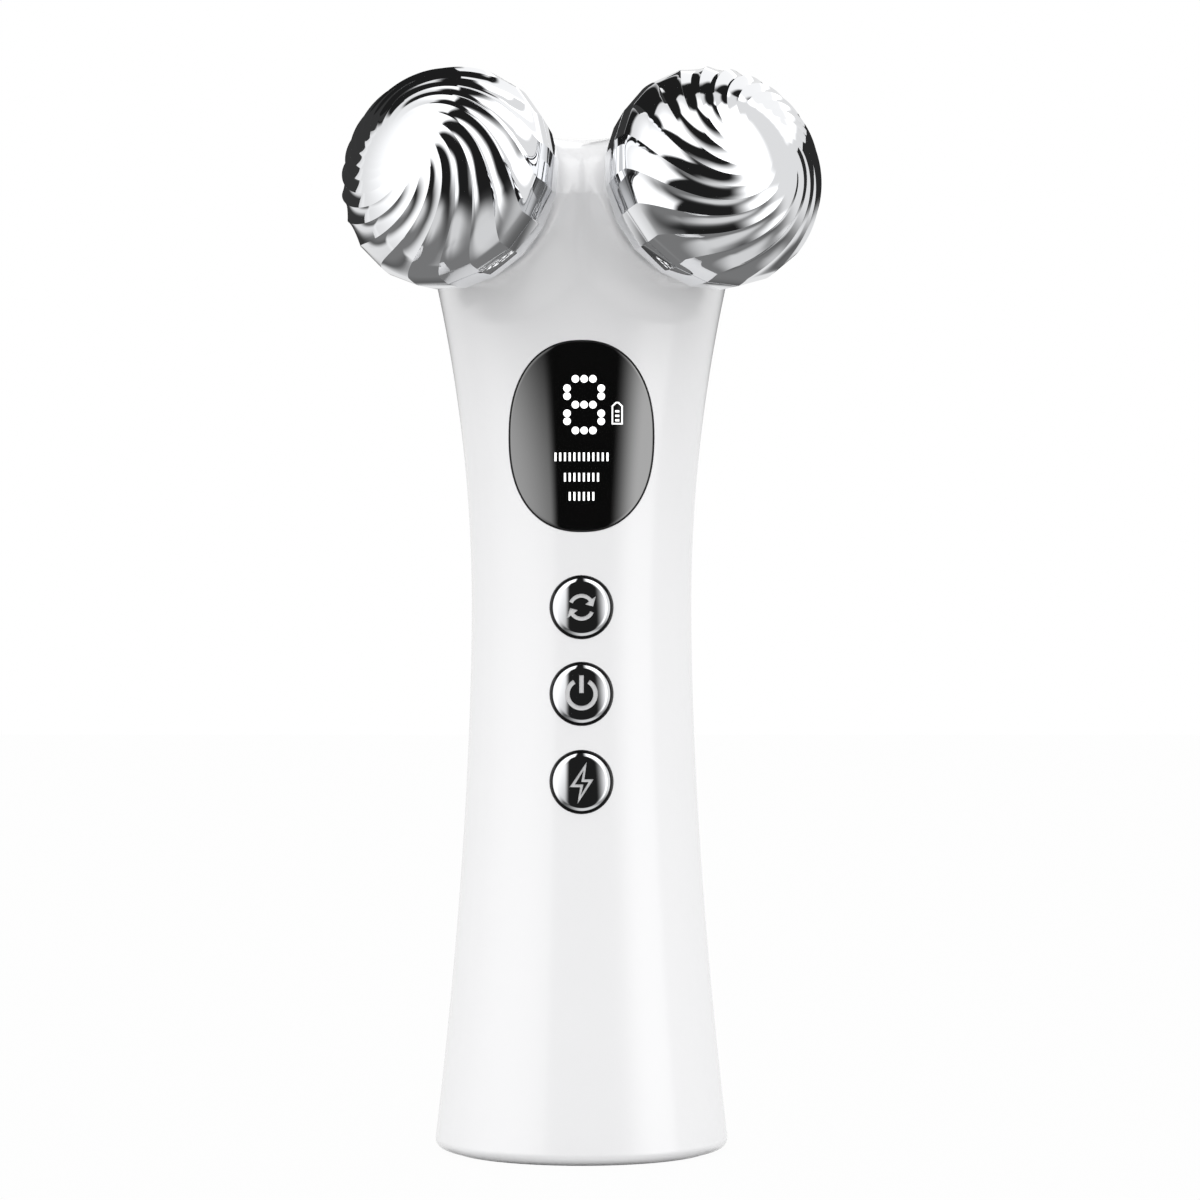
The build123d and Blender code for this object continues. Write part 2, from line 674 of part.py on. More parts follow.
base_screw = screw(BASE_SCREW_RADIUS, BASE_SCREW_REACH, BASE_SCREW_HEAD, BASE_SCREW_HEAD_HEIGHT)
with BuildPart() as base_screws:
    seat = BASE_SCREW_SINK + BASE_SCREW_HEAD_HEIGHT
    for x, y in base_posts:
        add(base_screw.moved(Location((x, y, seat))))
write(base_screws.part, "base_screws")

# ---------------------------------------------------------------- charging port and its board
port_middle = Plane.XY.offset(PORT_SINK)
with BuildPart() as usb_socket:
    with BuildSketch(port_middle):
        SlotOverall(PORT_WIDTH, PORT_HEIGHT)
    extrude(amount=PORT_LENGTH)
    with BuildSketch(port_middle):
        SlotOverall(PORT_WIDTH - 2 * PORT_WALL, PORT_HEIGHT - 2 * PORT_WALL)
    extrude(amount=PORT_LENGTH - PORT_WALL, mode=Mode.SUBTRACT)
    with BuildSketch(Plane.XY.offset(PORT_SINK + TONGUE_SINK)):
        Rectangle(TONGUE_WIDTH, TONGUE)
    extrude(amount=PORT_LENGTH - TONGUE_SINK)
write(usb_socket.part, "usb_socket")

with BuildPart() as charge_board:
    with BuildSketch(front_plane(charge_board_front)):
        with Locations((0, (CHARGE_BOARD_BOTTOM + CHARGE_BOARD_TOP) / 2)):
            Rectangle(2 * CHARGE_BOARD_HALF_WIDTH, CHARGE_BOARD_TOP - CHARGE_BOARD_BOTTOM)
    extrude(amount=-BOARD)
    with BuildSketch(front_plane(charge_board_front + BOARD)):
        with Locations((0, (CHARGE_BOARD_BOTTOM + CHARGE_BOARD_TOP) / 2)):
            Rectangle(SWITCH_SIZE, SWITCH_SIZE)
    extrude(amount=-CHIP_HEIGHT)
write(charge_board.part, "charge_board")

# ---------------------------------------------------------------- display lens, tape, mask, lights and board
with BuildPart() as display_lens:
    add(lens_prism)
    add(lens_face_form, mode=Mode.INTERSECT)
    add(lens_back_form, mode=Mode.SUBTRACT)
write(display_lens.part, "display_lens")

with BuildPart() as lens_tape:
    add(lens_prism)
    add(lens_back_form, mode=Mode.INTERSECT)
    add(tape_back_form, mode=Mode.SUBTRACT)
    add(window_prism, mode=Mode.SUBTRACT)
write(lens_tape.part, "lens_tape")

digit_height = DISPLAY_HEIGHT + DIGIT_ABOVE
digit_dots = [
    (DIGIT_X + across * DIGIT_DOT_PITCH, digit_height + row * DIGIT_HALF_HEIGHT)
    for across in (-1, 0, 1)
    for row in (-1, 0, 1)
] + [
    (DIGIT_X + side * DIGIT_HALF_WIDTH, digit_height + up * offset)
    for side in (-1, 1)
    for up in (-1, 1)
    for offset in DIGIT_SIDE_DOTS
]
mark_lights = [(BATTERY_MARK_X, DISPLAY_HEIGHT + BATTERY_MARK_ABOVE)]
mark_lights += [(0, DISPLAY_HEIGHT - below) for below in LEVEL_BARS_BELOW]

led_front = DISPLAY_BOARD_FRONT - LED_HEIGHT
with BuildPart() as light_mask:
    with BuildSketch(front_plane(led_front - SEAT_GAP)):
        with Locations((0, DISPLAY_HEIGHT)):
            Rectangle(2 * MASK_HALF_WIDTH, 2 * MASK_HALF_HEIGHT)
    extrude(amount=led_front - SEAT_GAP - MASK_FRONT)
    with BuildSketch(front_plane(MASK_FRONT)):
        add(superellipse(MASK_CORE_HALF_WIDTH, MASK_CORE_HALF_HEIGHT))
    extrude(amount=MASK_FRONT - MASK_CORE_FRONT)
    with BuildSketch(Plane.XZ):
        with Locations(*digit_dots):
            Circle(LIGHT_TUNNEL)
        with Locations(*mark_lights):
            Rectangle(2 * LED_SIZE, 2 * LED_SIZE)
    extrude(amount=REACH, mode=Mode.SUBTRACT)
write(light_mask.part, "light_mask")

with BuildPart() as display_lights:
    with BuildSketch(front_plane(DISPLAY_BOARD_FRONT)):
        with Locations(*digit_dots, *mark_lights):
            Rectangle(LED_SIZE, LED_SIZE)
    extrude(amount=LED_HEIGHT)
write(display_lights.part, "display_lights")

with BuildPart() as display_board:
    with BuildSketch(front_plane(DISPLAY_BOARD_FRONT)):
        with Locations((0, DISPLAY_HEIGHT)):
            RectangleRounded(2 * DISPLAY_BOARD_HALF_WIDTH, 2 * DISPLAY_BOARD_HALF_HEIGHT, BOARD_CORNER)
        with Locations(*display_posts):
            Circle(BOARD_SCREW_RADIUS + SEAT_GAP, mode=Mode.SUBTRACT)
    extrude(amount=-BOARD)
write(display_board.part, "display_board")

# ---------------------------------------------------------------- main board with chips and switches
with BuildPart() as main_board:
    with BuildSketch(front_plane(MAIN_BOARD_FRONT)):
        with Locations((0, (MAIN_BOARD_BOTTOM + MAIN_BOARD_TOP) / 2)):
            RectangleRounded(2 * MAIN_BOARD_HALF_WIDTH, MAIN_BOARD_TOP - MAIN_BOARD_BOTTOM, BOARD_CORNER)
        with Locations(*main_posts):
            Circle(BOARD_SCREW_RADIUS + SEAT_GAP, mode=Mode.SUBTRACT)
    extrude(amount=-BOARD)
write(main_board.part, "main_board")

chip_middle = (BATTERY_BOTTOM + BATTERY_LENGTH + MAIN_BOARD_TOP) / 2
with BuildPart() as board_chips:
    with BuildSketch(front_plane(board_back)):
        with Locations((0, chip_middle + MAIN_CHIP_ABOVE)):
            Rectangle(MAIN_CHIP, MAIN_CHIP)
        with Locations((SMALL_CHIP_X, chip_middle - SMALL_CHIP_BELOW)):
            Rectangle(*SMALL_CHIP)
    extrude(amount=-CHIP_HEIGHT)
    with BuildSketch(front_plane(display_board_back)):
        with Locations((0, DISPLAY_HEIGHT + DISPLAY_CHIP_ABOVE)):
            Rectangle(*DISPLAY_CHIP)
    extrude(amount=-CHIP_HEIGHT)
write(board_chips.part, "board_chips")

with BuildPart() as tact_switches:
    with BuildSketch(front_plane(MAIN_BOARD_FRONT)):
        with Locations(*[(0, height) for height in BUTTON_HEIGHTS.values()]):
            Rectangle(SWITCH_SIZE, SWITCH_SIZE)
    extrude(amount=SWITCH_HEIGHT)
    with BuildSketch(front_plane(MAIN_BOARD_FRONT - SWITCH_HEIGHT)):
        with Locations(*[(0, height) for height in BUTTON_HEIGHTS.values()]):
            Circle(SWITCH_BUTTON_RADIUS)
    extrude(amount=SWITCH_BUTTON_HEIGHT)
write(tact_switches.part, "tact_switches")


def screws_along_front(places, seat, one_screw, forwards=True):
    """Copies of a screw with their points to the front, or to the back."""
    turn = Plane(origin=(0, 0, 0), x_dir=(1, 0, 0), z_dir=(0, -1 if forwards else 1, 0))
    return [one_screw.moved(Location((x, seat, height)) * turn.location) for x, height in places]


board_screw = screw(BOARD_SCREW_RADIUS, BOARD + BOARD_SCREW_REACH, BOARD_SCREW_HEAD, BOARD_SCREW_HEAD_HEIGHT)
with BuildPart() as board_screws:
    add(screws_along_front(main_posts, board_back, board_screw))
    add(screws_along_front(display_posts, display_board_back, board_screw))
write(board_screws.part, "board_screws")

with BuildPart() as display_flex:
    display_centre = display_board_back + FLEX / 2
    main_centre = board_back + FLEX / 2
    display_bottom = DISPLAY_HEIGHT - DISPLAY_BOARD_HALF_HEIGHT
    with BuildSketch(Plane.YZ.offset(-FLEX_WIDTH / 2)):
        with BuildLine():
            FilletPolyline(
                (display_centre, display_bottom + FLEX_OVERLAP),
                (display_centre, display_bottom - FLEX_BEND),
                (main_centre, MAIN_BOARD_TOP + FLEX_BEND),
                (main_centre, MAIN_BOARD_TOP - FLEX_OVERLAP),
                radius=FLEX_BEND,
            )
        trace(line_width=FLEX)
    extrude(amount=FLEX_WIDTH)
write(display_flex.part, "display_flex")

# ---------------------------------------------------------------- buttons
bezel_inner = BUTTON_RADIUS + BEZEL_GAP
bezel_outer = bezel_inner + BEZEL_WALL
with BuildPart() as button_bezels:
    for name, height in BUTTON_HEIGHTS.items():
        with BuildSketch(front_plane(button_pad_back(name))):
            with Locations((0, height)):
                Circle(bezel_outer)
                Circle(bezel_inner, mode=Mode.SUBTRACT)
        extrude(amount=BUTTON_PAD_DEPTH + BEZEL_PROUD)
write(button_bezels.part, "button_bezels")

plunger_end = MAIN_BOARD_FRONT - SWITCH_HEIGHT - SWITCH_BUTTON_HEIGHT - PLUNGER_GAP
for name, height in BUTTON_HEIGHTS.items():
    flange_front = button_pad_back(name) + BODY_GAP
    flange_back = flange_front + BUTTON_FLANGE
    with BuildPart() as button_cap:
        with BuildSketch(front_plane(flange_front)):
            with Locations((0, height)):
                Circle(BUTTON_RADIUS)
        extrude(amount=flange_front - button_front(name) + BUTTON_PROUD)
        chamfer(button_cap.edges().group_by(Axis.Y)[0], BUTTON_CHAMFER)
        with BuildSketch(front_plane(flange_front)):
            with Locations((0, height)):
                Circle(BUTTON_FLANGE_RADIUS)
        extrude(amount=-BUTTON_FLANGE)
    write(button_cap.part, f"{name}_button_cap")
    with BuildPart() as plunger:
        with BuildSketch(front_plane(flange_back)):
            with Locations((0, height)):
                Circle(PLUNGER_RADIUS)
        extrude(amount=flange_back - plunger_end)
    write(plunger.part, f"{name}_button_plunger")

# ---------------------------------------------------------------- battery and its holder
battery_top = BATTERY_BOTTOM + BATTERY_LENGTH
with BuildPart() as battery_cell:
    with BuildSketch(Plane.XY.offset(BATTERY_BOTTOM)):
        with Locations((0, BATTERY_Y)):
            Circle(BATTERY_RADIUS)
    extrude(amount=BATTERY_LENGTH)
    fillet(battery_cell.edges().filter_by(GeomType.CIRCLE), BATTERY_ROUND)
    with BuildSketch(Plane.XY.offset(battery_top)):
        with Locations((0, BATTERY_Y)):
            Circle(BATTERY_NUB_RADIUS)
    extrude(amount=BATTERY_NUB)
write(battery_cell.part, "battery_cell")

with BuildPart() as holder_plates:
    for bottom in (BATTERY_BOTTOM - FIT_GAP - HOLDER_PLATE, battery_top + FIT_GAP):
        with Locations((0, HOLDER_FRONT + REACH, bottom + HOLDER_PLATE / 2)):
            Box(4 * REACH, 2 * REACH, HOLDER_PLATE)
    add(seat_form, mode=Mode.INTERSECT)

with BuildPart() as battery_holder:
    add(holder_plates.part)
    with BuildSketch(Plane.XY.offset(BATTERY_BOTTOM - HOLDER_PLATE)):
        with Locations((0, BATTERY_Y)):
            Circle(BATTERY_RADIUS + SEAT_GAP + HOLDER_WALL)
        with Locations((0, BATTERY_Y + HOLDER_MOUTH - REACH)):
            Rectangle(2 * REACH, 2 * REACH, mode=Mode.SUBTRACT)
    extrude(amount=BATTERY_LENGTH + 2 * HOLDER_PLATE)
    with BuildSketch(Plane.XY.offset(BATTERY_BOTTOM - FIT_GAP)):
        with Locations((0, BATTERY_Y)):
            Circle(BATTERY_RADIUS + SEAT_GAP)
    extrude(amount=BATTERY_LENGTH + 2 * FIT_GAP, mode=Mode.SUBTRACT)
    with BuildSketch(Plane.XY.offset(BATTERY_BOTTOM - 2 * HOLDER_PLATE)):
        with Locations((0, BATTERY_Y)):
            Circle(HOLDER_HOLE)
    extrude(amount=BATTERY_LENGTH + 4 * HOLDER_PLATE, mode=Mode.SUBTRACT)
write(battery_holder.part, "battery_holder")

# ---------------------------------------------------------------- vibration motor
motor_top = MOTOR_BOTTOM + MOTOR_LENGTH
with BuildPart() as motor_can:
    with BuildSketch(Plane.XY.offset(MOTOR_BOTTOM)):
        with Locations((0, MOTOR_Y)):
            Circle(MOTOR_RADIUS)
    extrude(amount=MOTOR_LENGTH)
    fillet(motor_can.edges().filter_by(GeomType.CIRCLE), MOTOR_ROUND)
    with BuildSketch(Plane.XY.offset(motor_top)):
        with Locations((0, MOTOR_Y)):
            Circle(SHAFT_RADIUS + RUNNING_GAP)
    extrude(amount=-SHAFT_DEPTH - BODY_GAP, mode=Mode.SUBTRACT)
write(motor_can.part, "motor_can")

with BuildPart() as motor_sleeve:
    with BuildSketch(Plane.XY.offset(MOTOR_BOTTOM + SLEEVE_INSET)):
        with Locations((0, MOTOR_Y)):
            Circle(sleeve_radius)
            Circle(MOTOR_RADIUS + FIT_GAP / 2, mode=Mode.SUBTRACT)
    extrude(amount=MOTOR_LENGTH - 2 * SLEEVE_INSET)
write(motor_sleeve.part, "motor_sleeve")

with BuildPart() as motor_strap:
    with BuildSketch(Plane.XY.offset(strap_height - STRAP_HEIGHT / 2)):
        with Locations((0, MOTOR_Y)):
            Circle(sleeve_radius + FIT_GAP + STRAP_WALL)
        with Locations((0, (STRAP_EAR_FRONT + ear_back) / 2)):
            Rectangle(2 * STRAP_EAR_END, STRAP_EAR)
        with Locations((0, ear_back + REACH)):
            Rectangle(2 * REACH, 2 * REACH, mode=Mode.SUBTRACT)
        with Locations((0, MOTOR_Y)):
            Circle(sleeve_radius + FIT_GAP, mode=Mode.SUBTRACT)
    extrude(amount=STRAP_HEIGHT)
    with BuildSketch(Plane.XZ.offset(-REACH)):
        with Locations(*strap_posts):
            Circle(STRAP_SCREW_RADIUS + SEAT_GAP)
    extrude(amount=2 * REACH, mode=Mode.SUBTRACT)
write(motor_strap.part, "motor_strap")

strap_reach = STRAP_EAR + STRAP_SCREW_REACH
strap_screw = screw(STRAP_SCREW_RADIUS, strap_reach, STRAP_SCREW_HEAD, STRAP_SCREW_HEAD_HEIGHT)
with BuildPart() as strap_screws:
    add(screws_along_front(strap_posts, STRAP_EAR_FRONT, strap_screw, forwards=False))
write(strap_screws.part, "strap_screws")

with BuildPart() as motor_shaft:
    with BuildSketch(Plane.XY.offset(motor_top - SHAFT_DEPTH)):
        with Locations((0, MOTOR_Y)):
            Circle(SHAFT_RADIUS)
    extrude(amount=SHAFT_DEPTH + SHAFT_OUT)
write(motor_shaft.part, "motor_shaft")

with BuildPart() as eccentric_weight:
    with BuildSketch(Plane.XY.offset(motor_top + SHAFT_OUT - WEIGHT_HEIGHT)):
        with Locations((0, MOTOR_Y)):
            Circle(WEIGHT_RADIUS)
        with Locations((0, MOTOR_Y - WEIGHT_OFFSET - WEIGHT_RADIUS)):
            Rectangle(2 * WEIGHT_RADIUS, 2 * WEIGHT_RADIUS, mode=Mode.SUBTRACT)
        with Locations((0, MOTOR_Y)):
            Circle(WEIGHT_HUB_RADIUS)
            Circle(SHAFT_RADIUS, mode=Mode.SUBTRACT)
    extrude(amount=WEIGHT_HEIGHT)
write(eccentric_weight.part, "eccentric_weight")

# ---------------------------------------------------------------- axle carrier, axles and what is on them
plate_back = CARRIER_PLATE_FRONT + CARRIER_PLATE
with BuildPart() as axle_carrier:
    with BuildSketch(front_plane(CARRIER_PLATE_FRONT)):
        with Locations((0, (CARRIER_PLATE_BOTTOM + CARRIER_PLATE_TOP) / 2)):
            RectangleRounded(
                2 * CARRIER_PLATE_HALF_WIDTH, CARRIER_PLATE_TOP - CARRIER_PLATE_BOTTOM, BOARD_CORNER
            )
    extrude(amount=-CARRIER_PLATE)
    for side in SIDES.values():
        with BuildSketch(axle_plane(side, FLANGE_BACK)):
            Circle(CARRIER_SLEEVE)
        extrude(amount=-CARRIER_LENGTH)
    for side in SIDES.values():
        with BuildSketch(axle_plane(side, COLLAR_BACK)):
            Circle(AXLE_RADIUS + FIT_GAP)
        extrude(amount=-COLLAR_LENGTH, mode=Mode.SUBTRACT)
        with BuildSketch(axle_plane(side, FLANGE_BACK)):
            Circle(CARRIER_SLEEVE + FIT_GAP)
        extrude(amount=COLLAR_LENGTH, mode=Mode.SUBTRACT)
    with BuildSketch(Plane.XZ):
        with Locations(*carrier_posts):
            Circle(CARRIER_SCREW_RADIUS + SEAT_GAP)
    extrude(amount=REACH, mode=Mode.SUBTRACT)
write(axle_carrier.part, "axle_carrier")

carrier_reach = CARRIER_PLATE + CARRIER_SCREW_REACH
carrier_screw = screw(CARRIER_SCREW_RADIUS, carrier_reach, CARRIER_SCREW_HEAD, CARRIER_SCREW_HEAD_HEIGHT)
with BuildPart() as carrier_screws:
    add(screws_along_front(carrier_posts, plate_back, carrier_screw))
write(carrier_screws.part, "carrier_screws")

clip_back = HUB_FRONT + BODY_GAP
for place, side in SIDES.items():
    with BuildPart() as axle:
        with BuildSketch(axle_plane(side, CARRIER_BACK)):
            Circle(AXLE_RADIUS)
        extrude(amount=AXLE_FRONT - CARRIER_BACK)
        tip = axle.edges().sort_by(lambda edge: axle_plane(side).to_local_coords(edge.center()).Z)[-1]
        chamfer(tip, AXLE_CHAMFER)
        with BuildSketch(axle_plane(side, FLANGE_BACK)):
            Circle(AXLE_FLANGE_RADIUS)
        extrude(amount=AXLE_FLANGE)
        with BuildSketch(axle_plane(side, AXLE_BACK)):
            Circle(AXLE_STUD_RADIUS)
        extrude(amount=CARRIER_BACK - AXLE_BACK)
        with BuildSketch(axle_plane(side, clip_back)):
            Circle(2 * AXLE_RADIUS)
            Circle(AXLE_RADIUS - CLIP_GROOVE_DEPTH, mode=Mode.SUBTRACT)
        extrude(amount=CLIP_THICKNESS, mode=Mode.SUBTRACT)
    write(axle.part, f"axle_{place}")

with BuildPart() as axle_clips:
    for side in SIDES.values():
        with BuildSketch(axle_plane(side, clip_back)):
            Circle(CLIP_RADIUS)
            Circle(AXLE_RADIUS - CLIP_GROOVE_DEPTH, mode=Mode.SUBTRACT)
            with Locations((0, -CLIP_RADIUS)):
                Rectangle(CLIP_MOUTH, 2 * CLIP_RADIUS, mode=Mode.SUBTRACT)
        extrude(amount=CLIP_THICKNESS)
write(axle_clips.part, "axle_clips")

with BuildPart() as ring_terminals:
    for side in SIDES.values():
        with BuildSketch(axle_plane(side, TERMINAL_BACK)):
            Circle(TERMINAL_RADIUS)
            with Locations((0, -TERMINAL_TAIL / 2)):
                Rectangle(TERMINAL_TAIL_WIDTH, TERMINAL_TAIL)
            Circle(AXLE_STUD_RADIUS + FIT_GAP, mode=Mode.SUBTRACT)
        extrude(amount=TERMINAL_THICKNESS)
write(ring_terminals.part, "ring_terminals")

with BuildPart() as axle_nuts:
    for side in SIDES.values():
        with BuildSketch(axle_plane(side, TERMINAL_BACK)):
            RegularPolygon(NUT_ACROSS_FLATS / 2, 6, major_radius=False)
            Circle(AXLE_STUD_RADIUS, mode=Mode.SUBTRACT)
        extrude(amount=-NUT_THICKNESS)
write(axle_nuts.part, "axle_nuts")

with BuildPart() as stem_seals:
    for side in SIDES.values():
        with BuildSketch(axle_plane(side, COLLAR_FACE - SEAL_RECESS)):
            Circle(SEAL_RADIUS)
            Circle(AXLE_RADIUS, mode=Mode.SUBTRACT)
        extrude(amount=SEAL_RECESS - WALL)
write(stem_seals.part, "stem_seals")

with BuildPart() as thrust_washers:
    for side in SIDES.values():
        with BuildSketch(axle_plane(side, COLLAR_FACE)):
            Circle(WASHER_RADIUS)
            Circle(AXLE_RADIUS + FIT_GAP, mode=Mode.SUBTRACT)
        extrude(amount=WASHER_THICKNESS)
write(thrust_washers.part, "thrust_washers")


# ---------------------------------------------------------------- rollers, drawn on their own axis
def ring_radius(angle):
    return ROLLER_RADIUS * math.sin(math.radians(angle))


def ring_height(angle):
    return ROLLER_RADIUS * ROLLER_SQUASH * math.cos(math.radians(angle))


def ridge_turn(angle):
    """How far the ridges have wound, in degrees, at a polar angle; none where the facets begin."""
    start = (1 - RIDGE_END_ANGLE / SEAM_ANGLE) ** 2
    return RIDGE_TWIST * ((1 - angle / SEAM_ANGLE) ** 2 - start)


def ridge_angle(step):
    """Polar angles whose ridges lie an equal turn apart, so no section twists by half a ridge."""
    share = step / (RIDGE_SECTIONS - 1)
    first, last = 1 - RIDGE_END_ANGLE / SEAM_ANGLE, 1 - POLE_ANGLE / SEAM_ANGLE
    return SEAM_ANGLE * (1 - math.sqrt(first**2 + (last**2 - first**2) * share))


def ridged_section(angle):
    """One ring of the ridges: as many scoops as ridges, each an arc between two crests."""
    radius, half = ring_radius(angle), math.pi / RIDGES
    fade = min(1.0, (RIDGE_END_ANGLE - angle) / SCOOP_FADE)
    scoop = SCOOP_START + (SCOOP_DEPTH - SCOOP_START) * fade
    valley = radius * math.cos(half) - scoop * radius / ROLLER_RADIUS
    with BuildSketch(Plane.XY.offset(ring_height(angle))) as ring:
        with BuildLine():
            for ridge in range(RIDGES):
                crest = math.radians(ridge_turn(angle)) + 2 * half * ridge
                ThreePointArc(
                    (radius * math.cos(crest), radius * math.sin(crest)),
                    (valley * math.cos(crest + half), valley * math.sin(crest + half)),
                    (radius * math.cos(crest + 2 * half), radius * math.sin(crest + 2 * half)),
                )
        make_face()
    return ring.sketch


def facet_band(upper, lower):
    """A ring of flat facets between two polar angles."""
    with BuildPart() as band:
        for angle in (upper, lower):
            with BuildSketch(Plane.XY.offset(ring_height(angle))):
                RegularPolygon(ring_radius(angle), RIDGES)
        loft(ruled=True)
    return band.part


def cavity(inset):
    """The hollow inside the ridges, a stack of cones."""
    across, along = ROLLER_RADIUS - inset, ROLLER_RADIUS * ROLLER_SQUASH - inset
    corners = [(across * math.sin(math.radians(a)), along * math.cos(math.radians(a))) for a in CAVITY_ANGLES]
    with BuildPart() as hollow:
        with BuildSketch(Plane.XZ):
            with BuildLine():
                Polyline((0, corners[0][1]), *corners, (0, corners[-1][1]), close=True)
            make_face()
        revolve(axis=Axis.Z)
    return hollow.part


seam_height = ring_height(SEAM_ANGLE)
hub_face = seam_height - FIT_GAP
rear_face = ring_height(REAR_FACE_ANGLE)
roller_posts = PolarLocations(ROLLER_SCREW_CIRCLE, ROLLER_SCREWS)

with BuildPart() as ridged_cap:
    loft([ridged_section(ridge_angle(step)) for step in range(RIDGE_SECTIONS)])

with BuildPart() as inner_posts:
    with BuildSketch(Plane.XY.offset(seam_height)):
        with roller_posts:
            Circle(ROLLER_POST_RADIUS)
    extrude(amount=ROLLER_RADIUS)
    add(cavity(ROLLER_WALL - POST_ROOT), mode=Mode.INTERSECT)

with BuildPart() as roller_front:
    add(ridged_cap.part)
    add(facet_band(RIDGE_END_ANGLE, SEAM_ANGLE))
    add(cavity(ROLLER_WALL), mode=Mode.SUBTRACT)
    add(inner_posts.part)
    with BuildSketch(Plane.XY.offset(seam_height)):
        with roller_posts:
            Circle(ROLLER_SCREW_RADIUS + POST_HOLE_GAP)
    extrude(amount=ROLLER_SCREW_REACH + BODY_GAP, mode=Mode.SUBTRACT)

with BuildPart() as roller_rear:
    add(facet_band(SEAM_ANGLE, REAR_FACET_ANGLE))
    add(facet_band(REAR_FACET_ANGLE, REAR_FACE_ANGLE))
    with BuildSketch(Plane.XY.offset(seam_height - ROLLER_SEAM)):
        Circle(2 * ROLLER_RADIUS)
    extrude(amount=ROLLER_RADIUS, mode=Mode.SUBTRACT)
    flat = math.cos(math.pi / RIDGES)
    floor_height = rear_face + REAR_SHELL_FLOOR
    with BuildSketch(Plane.XZ):
        with BuildLine():
            Polyline(
                (0, seam_height),
                (ROLLER_RADIUS * flat - REAR_SHELL_WALL, seam_height),
                (ring_radius(REAR_FACET_ANGLE) * flat - REAR_SHELL_WALL, ring_height(REAR_FACET_ANGLE)),
                (ring_radius(REAR_FACE_ANGLE) * flat - REAR_SHELL_WALL / 2, floor_height),
                (0, floor_height),
                close=True,
            )
        make_face()
    revolve(axis=Axis.Z, mode=Mode.SUBTRACT)
    with BuildSketch(Plane.XY.offset(rear_face)):
        Circle(HUB_RADIUS + FIT_GAP)
    extrude(amount=ROLLER_RADIUS, mode=Mode.SUBTRACT)

with BuildPart() as roller_hub:
    with BuildSketch(Plane.XY.offset(rear_face)):
        Circle(HUB_RADIUS)
    extrude(amount=HUB_FRONT - rear_face)
    with BuildSketch(Plane.XY.offset(hub_face)):
        Circle(HUB_FLANGE_RADIUS)
    extrude(amount=-HUB_FLANGE)
    with BuildSketch(Plane.XY.offset(hub_face)):
        with roller_posts:
            Circle(ROLLER_SCREW_RADIUS + SEAT_GAP)
    extrude(amount=-HUB_FLANGE, mode=Mode.SUBTRACT)
    with BuildSketch(Plane.XY.offset(rear_face)):
        Circle(AXLE_RADIUS + BODY_GAP)
    extrude(amount=HUB_FRONT - rear_face, mode=Mode.SUBTRACT)
    for bottom in (rear_face, HUB_FRONT - BUSH_LENGTH):
        with BuildSketch(Plane.XY.offset(bottom)):
            Circle(BUSH_RADIUS)
        extrude(amount=BUSH_LENGTH, mode=Mode.SUBTRACT)

with BuildPart() as roller_bushes:
    for bottom in (rear_face, HUB_FRONT - BUSH_LENGTH):
        with BuildSketch(Plane.XY.offset(bottom)):
            Circle(BUSH_RADIUS)
            Circle(AXLE_RADIUS + RUNNING_GAP, mode=Mode.SUBTRACT)
        extrude(amount=BUSH_LENGTH)

hub_reach = HUB_FLANGE + ROLLER_SCREW_REACH
hub_screw = screw(ROLLER_SCREW_RADIUS, hub_reach, ROLLER_SCREW_HEAD, ROLLER_SCREW_HEAD_HEIGHT)
with BuildPart() as roller_screws:
    with roller_posts:
        add(hub_screw.moved(Location((0, 0, hub_face - HUB_FLANGE))))

roller_pieces = {
    "roller_front_shell": roller_front.part,
    "roller_rear_shell": roller_rear.part,
    "roller_hub": roller_hub.part,
    "roller_bushes": roller_bushes.part,
    "roller_screws": roller_screws.part,
}
for place, side in SIDES.items():
    rest = axle_plane(side).location * Location((0, 0, 0), (0, 0, REST_ANGLE[place]))
    for name, piece in roller_pieces.items():
        write(piece.moved(rest), f"{name}_{place}")


# ---------------------------------------------------------------- wires inside the handle
def bend_radii(points):
    """The largest arc at each corner: a share of the shorter run over the tangent of half the turn."""
    radii = []
    for before, corner, after in zip(points, points[1:], points[2:]):
        arriving, leaving = Vector(*corner) - Vector(*before), Vector(*after) - Vector(*corner)
        turn = math.radians(arriving.get_angle(leaving))
        radii.append(BEND_SHARE * min(arriving.length, leaving.length) / math.tan(turn / 2))
    return radii


def wire(points):
    """A wire of one thickness along straight runs joined by arcs."""
    with BuildPart() as tube:
        with BuildLine() as path:
            if len(points) > 2:
                FilletPolyline(*points, radius=bend_radii(points))
            else:
                Polyline(*points)
        start = Vector(*points[1]) - Vector(*points[0])
        with BuildSketch(Plane(origin=points[0], z_dir=start)):
            Circle(WIRE_RADIUS)
        sweep(path=path.line)
    if len(points) > 2:
        print("wire radii", [round(radius, 1) for radius in bend_radii(points)])
    return tube.part


on_back = board_back + WIRE_RADIUS  # where a wire lies on the back of the main board
on_front = MAIN_BOARD_FRONT - WIRE_RADIUS
cell_front = BATTERY_Y - BATTERY_RADIUS - WIRE_RADIUS

with BuildPart() as battery_leads:
    rise = battery_top + CELL_LEAD_RISE
    end = battery_top + CELL_LEAD_END
    nub = (0, BATTERY_Y, battery_top + BATTERY_NUB)
    landing = (-CELL_LEAD_X, board_back, end)
    add(wire([nub, (0, BATTERY_Y, rise), (-CELL_LEAD_X, CELL_LEAD_Y, end), landing]))
    low, high = BATTERY_BOTTOM + CELL_LEAD_OVERLAP, MAIN_BOARD_BOTTOM + CELL_LEAD_OVERLAP
    add(wire([(0, cell_front, low), (0, cell_front, high)]))
write(battery_leads.part, "battery_leads")

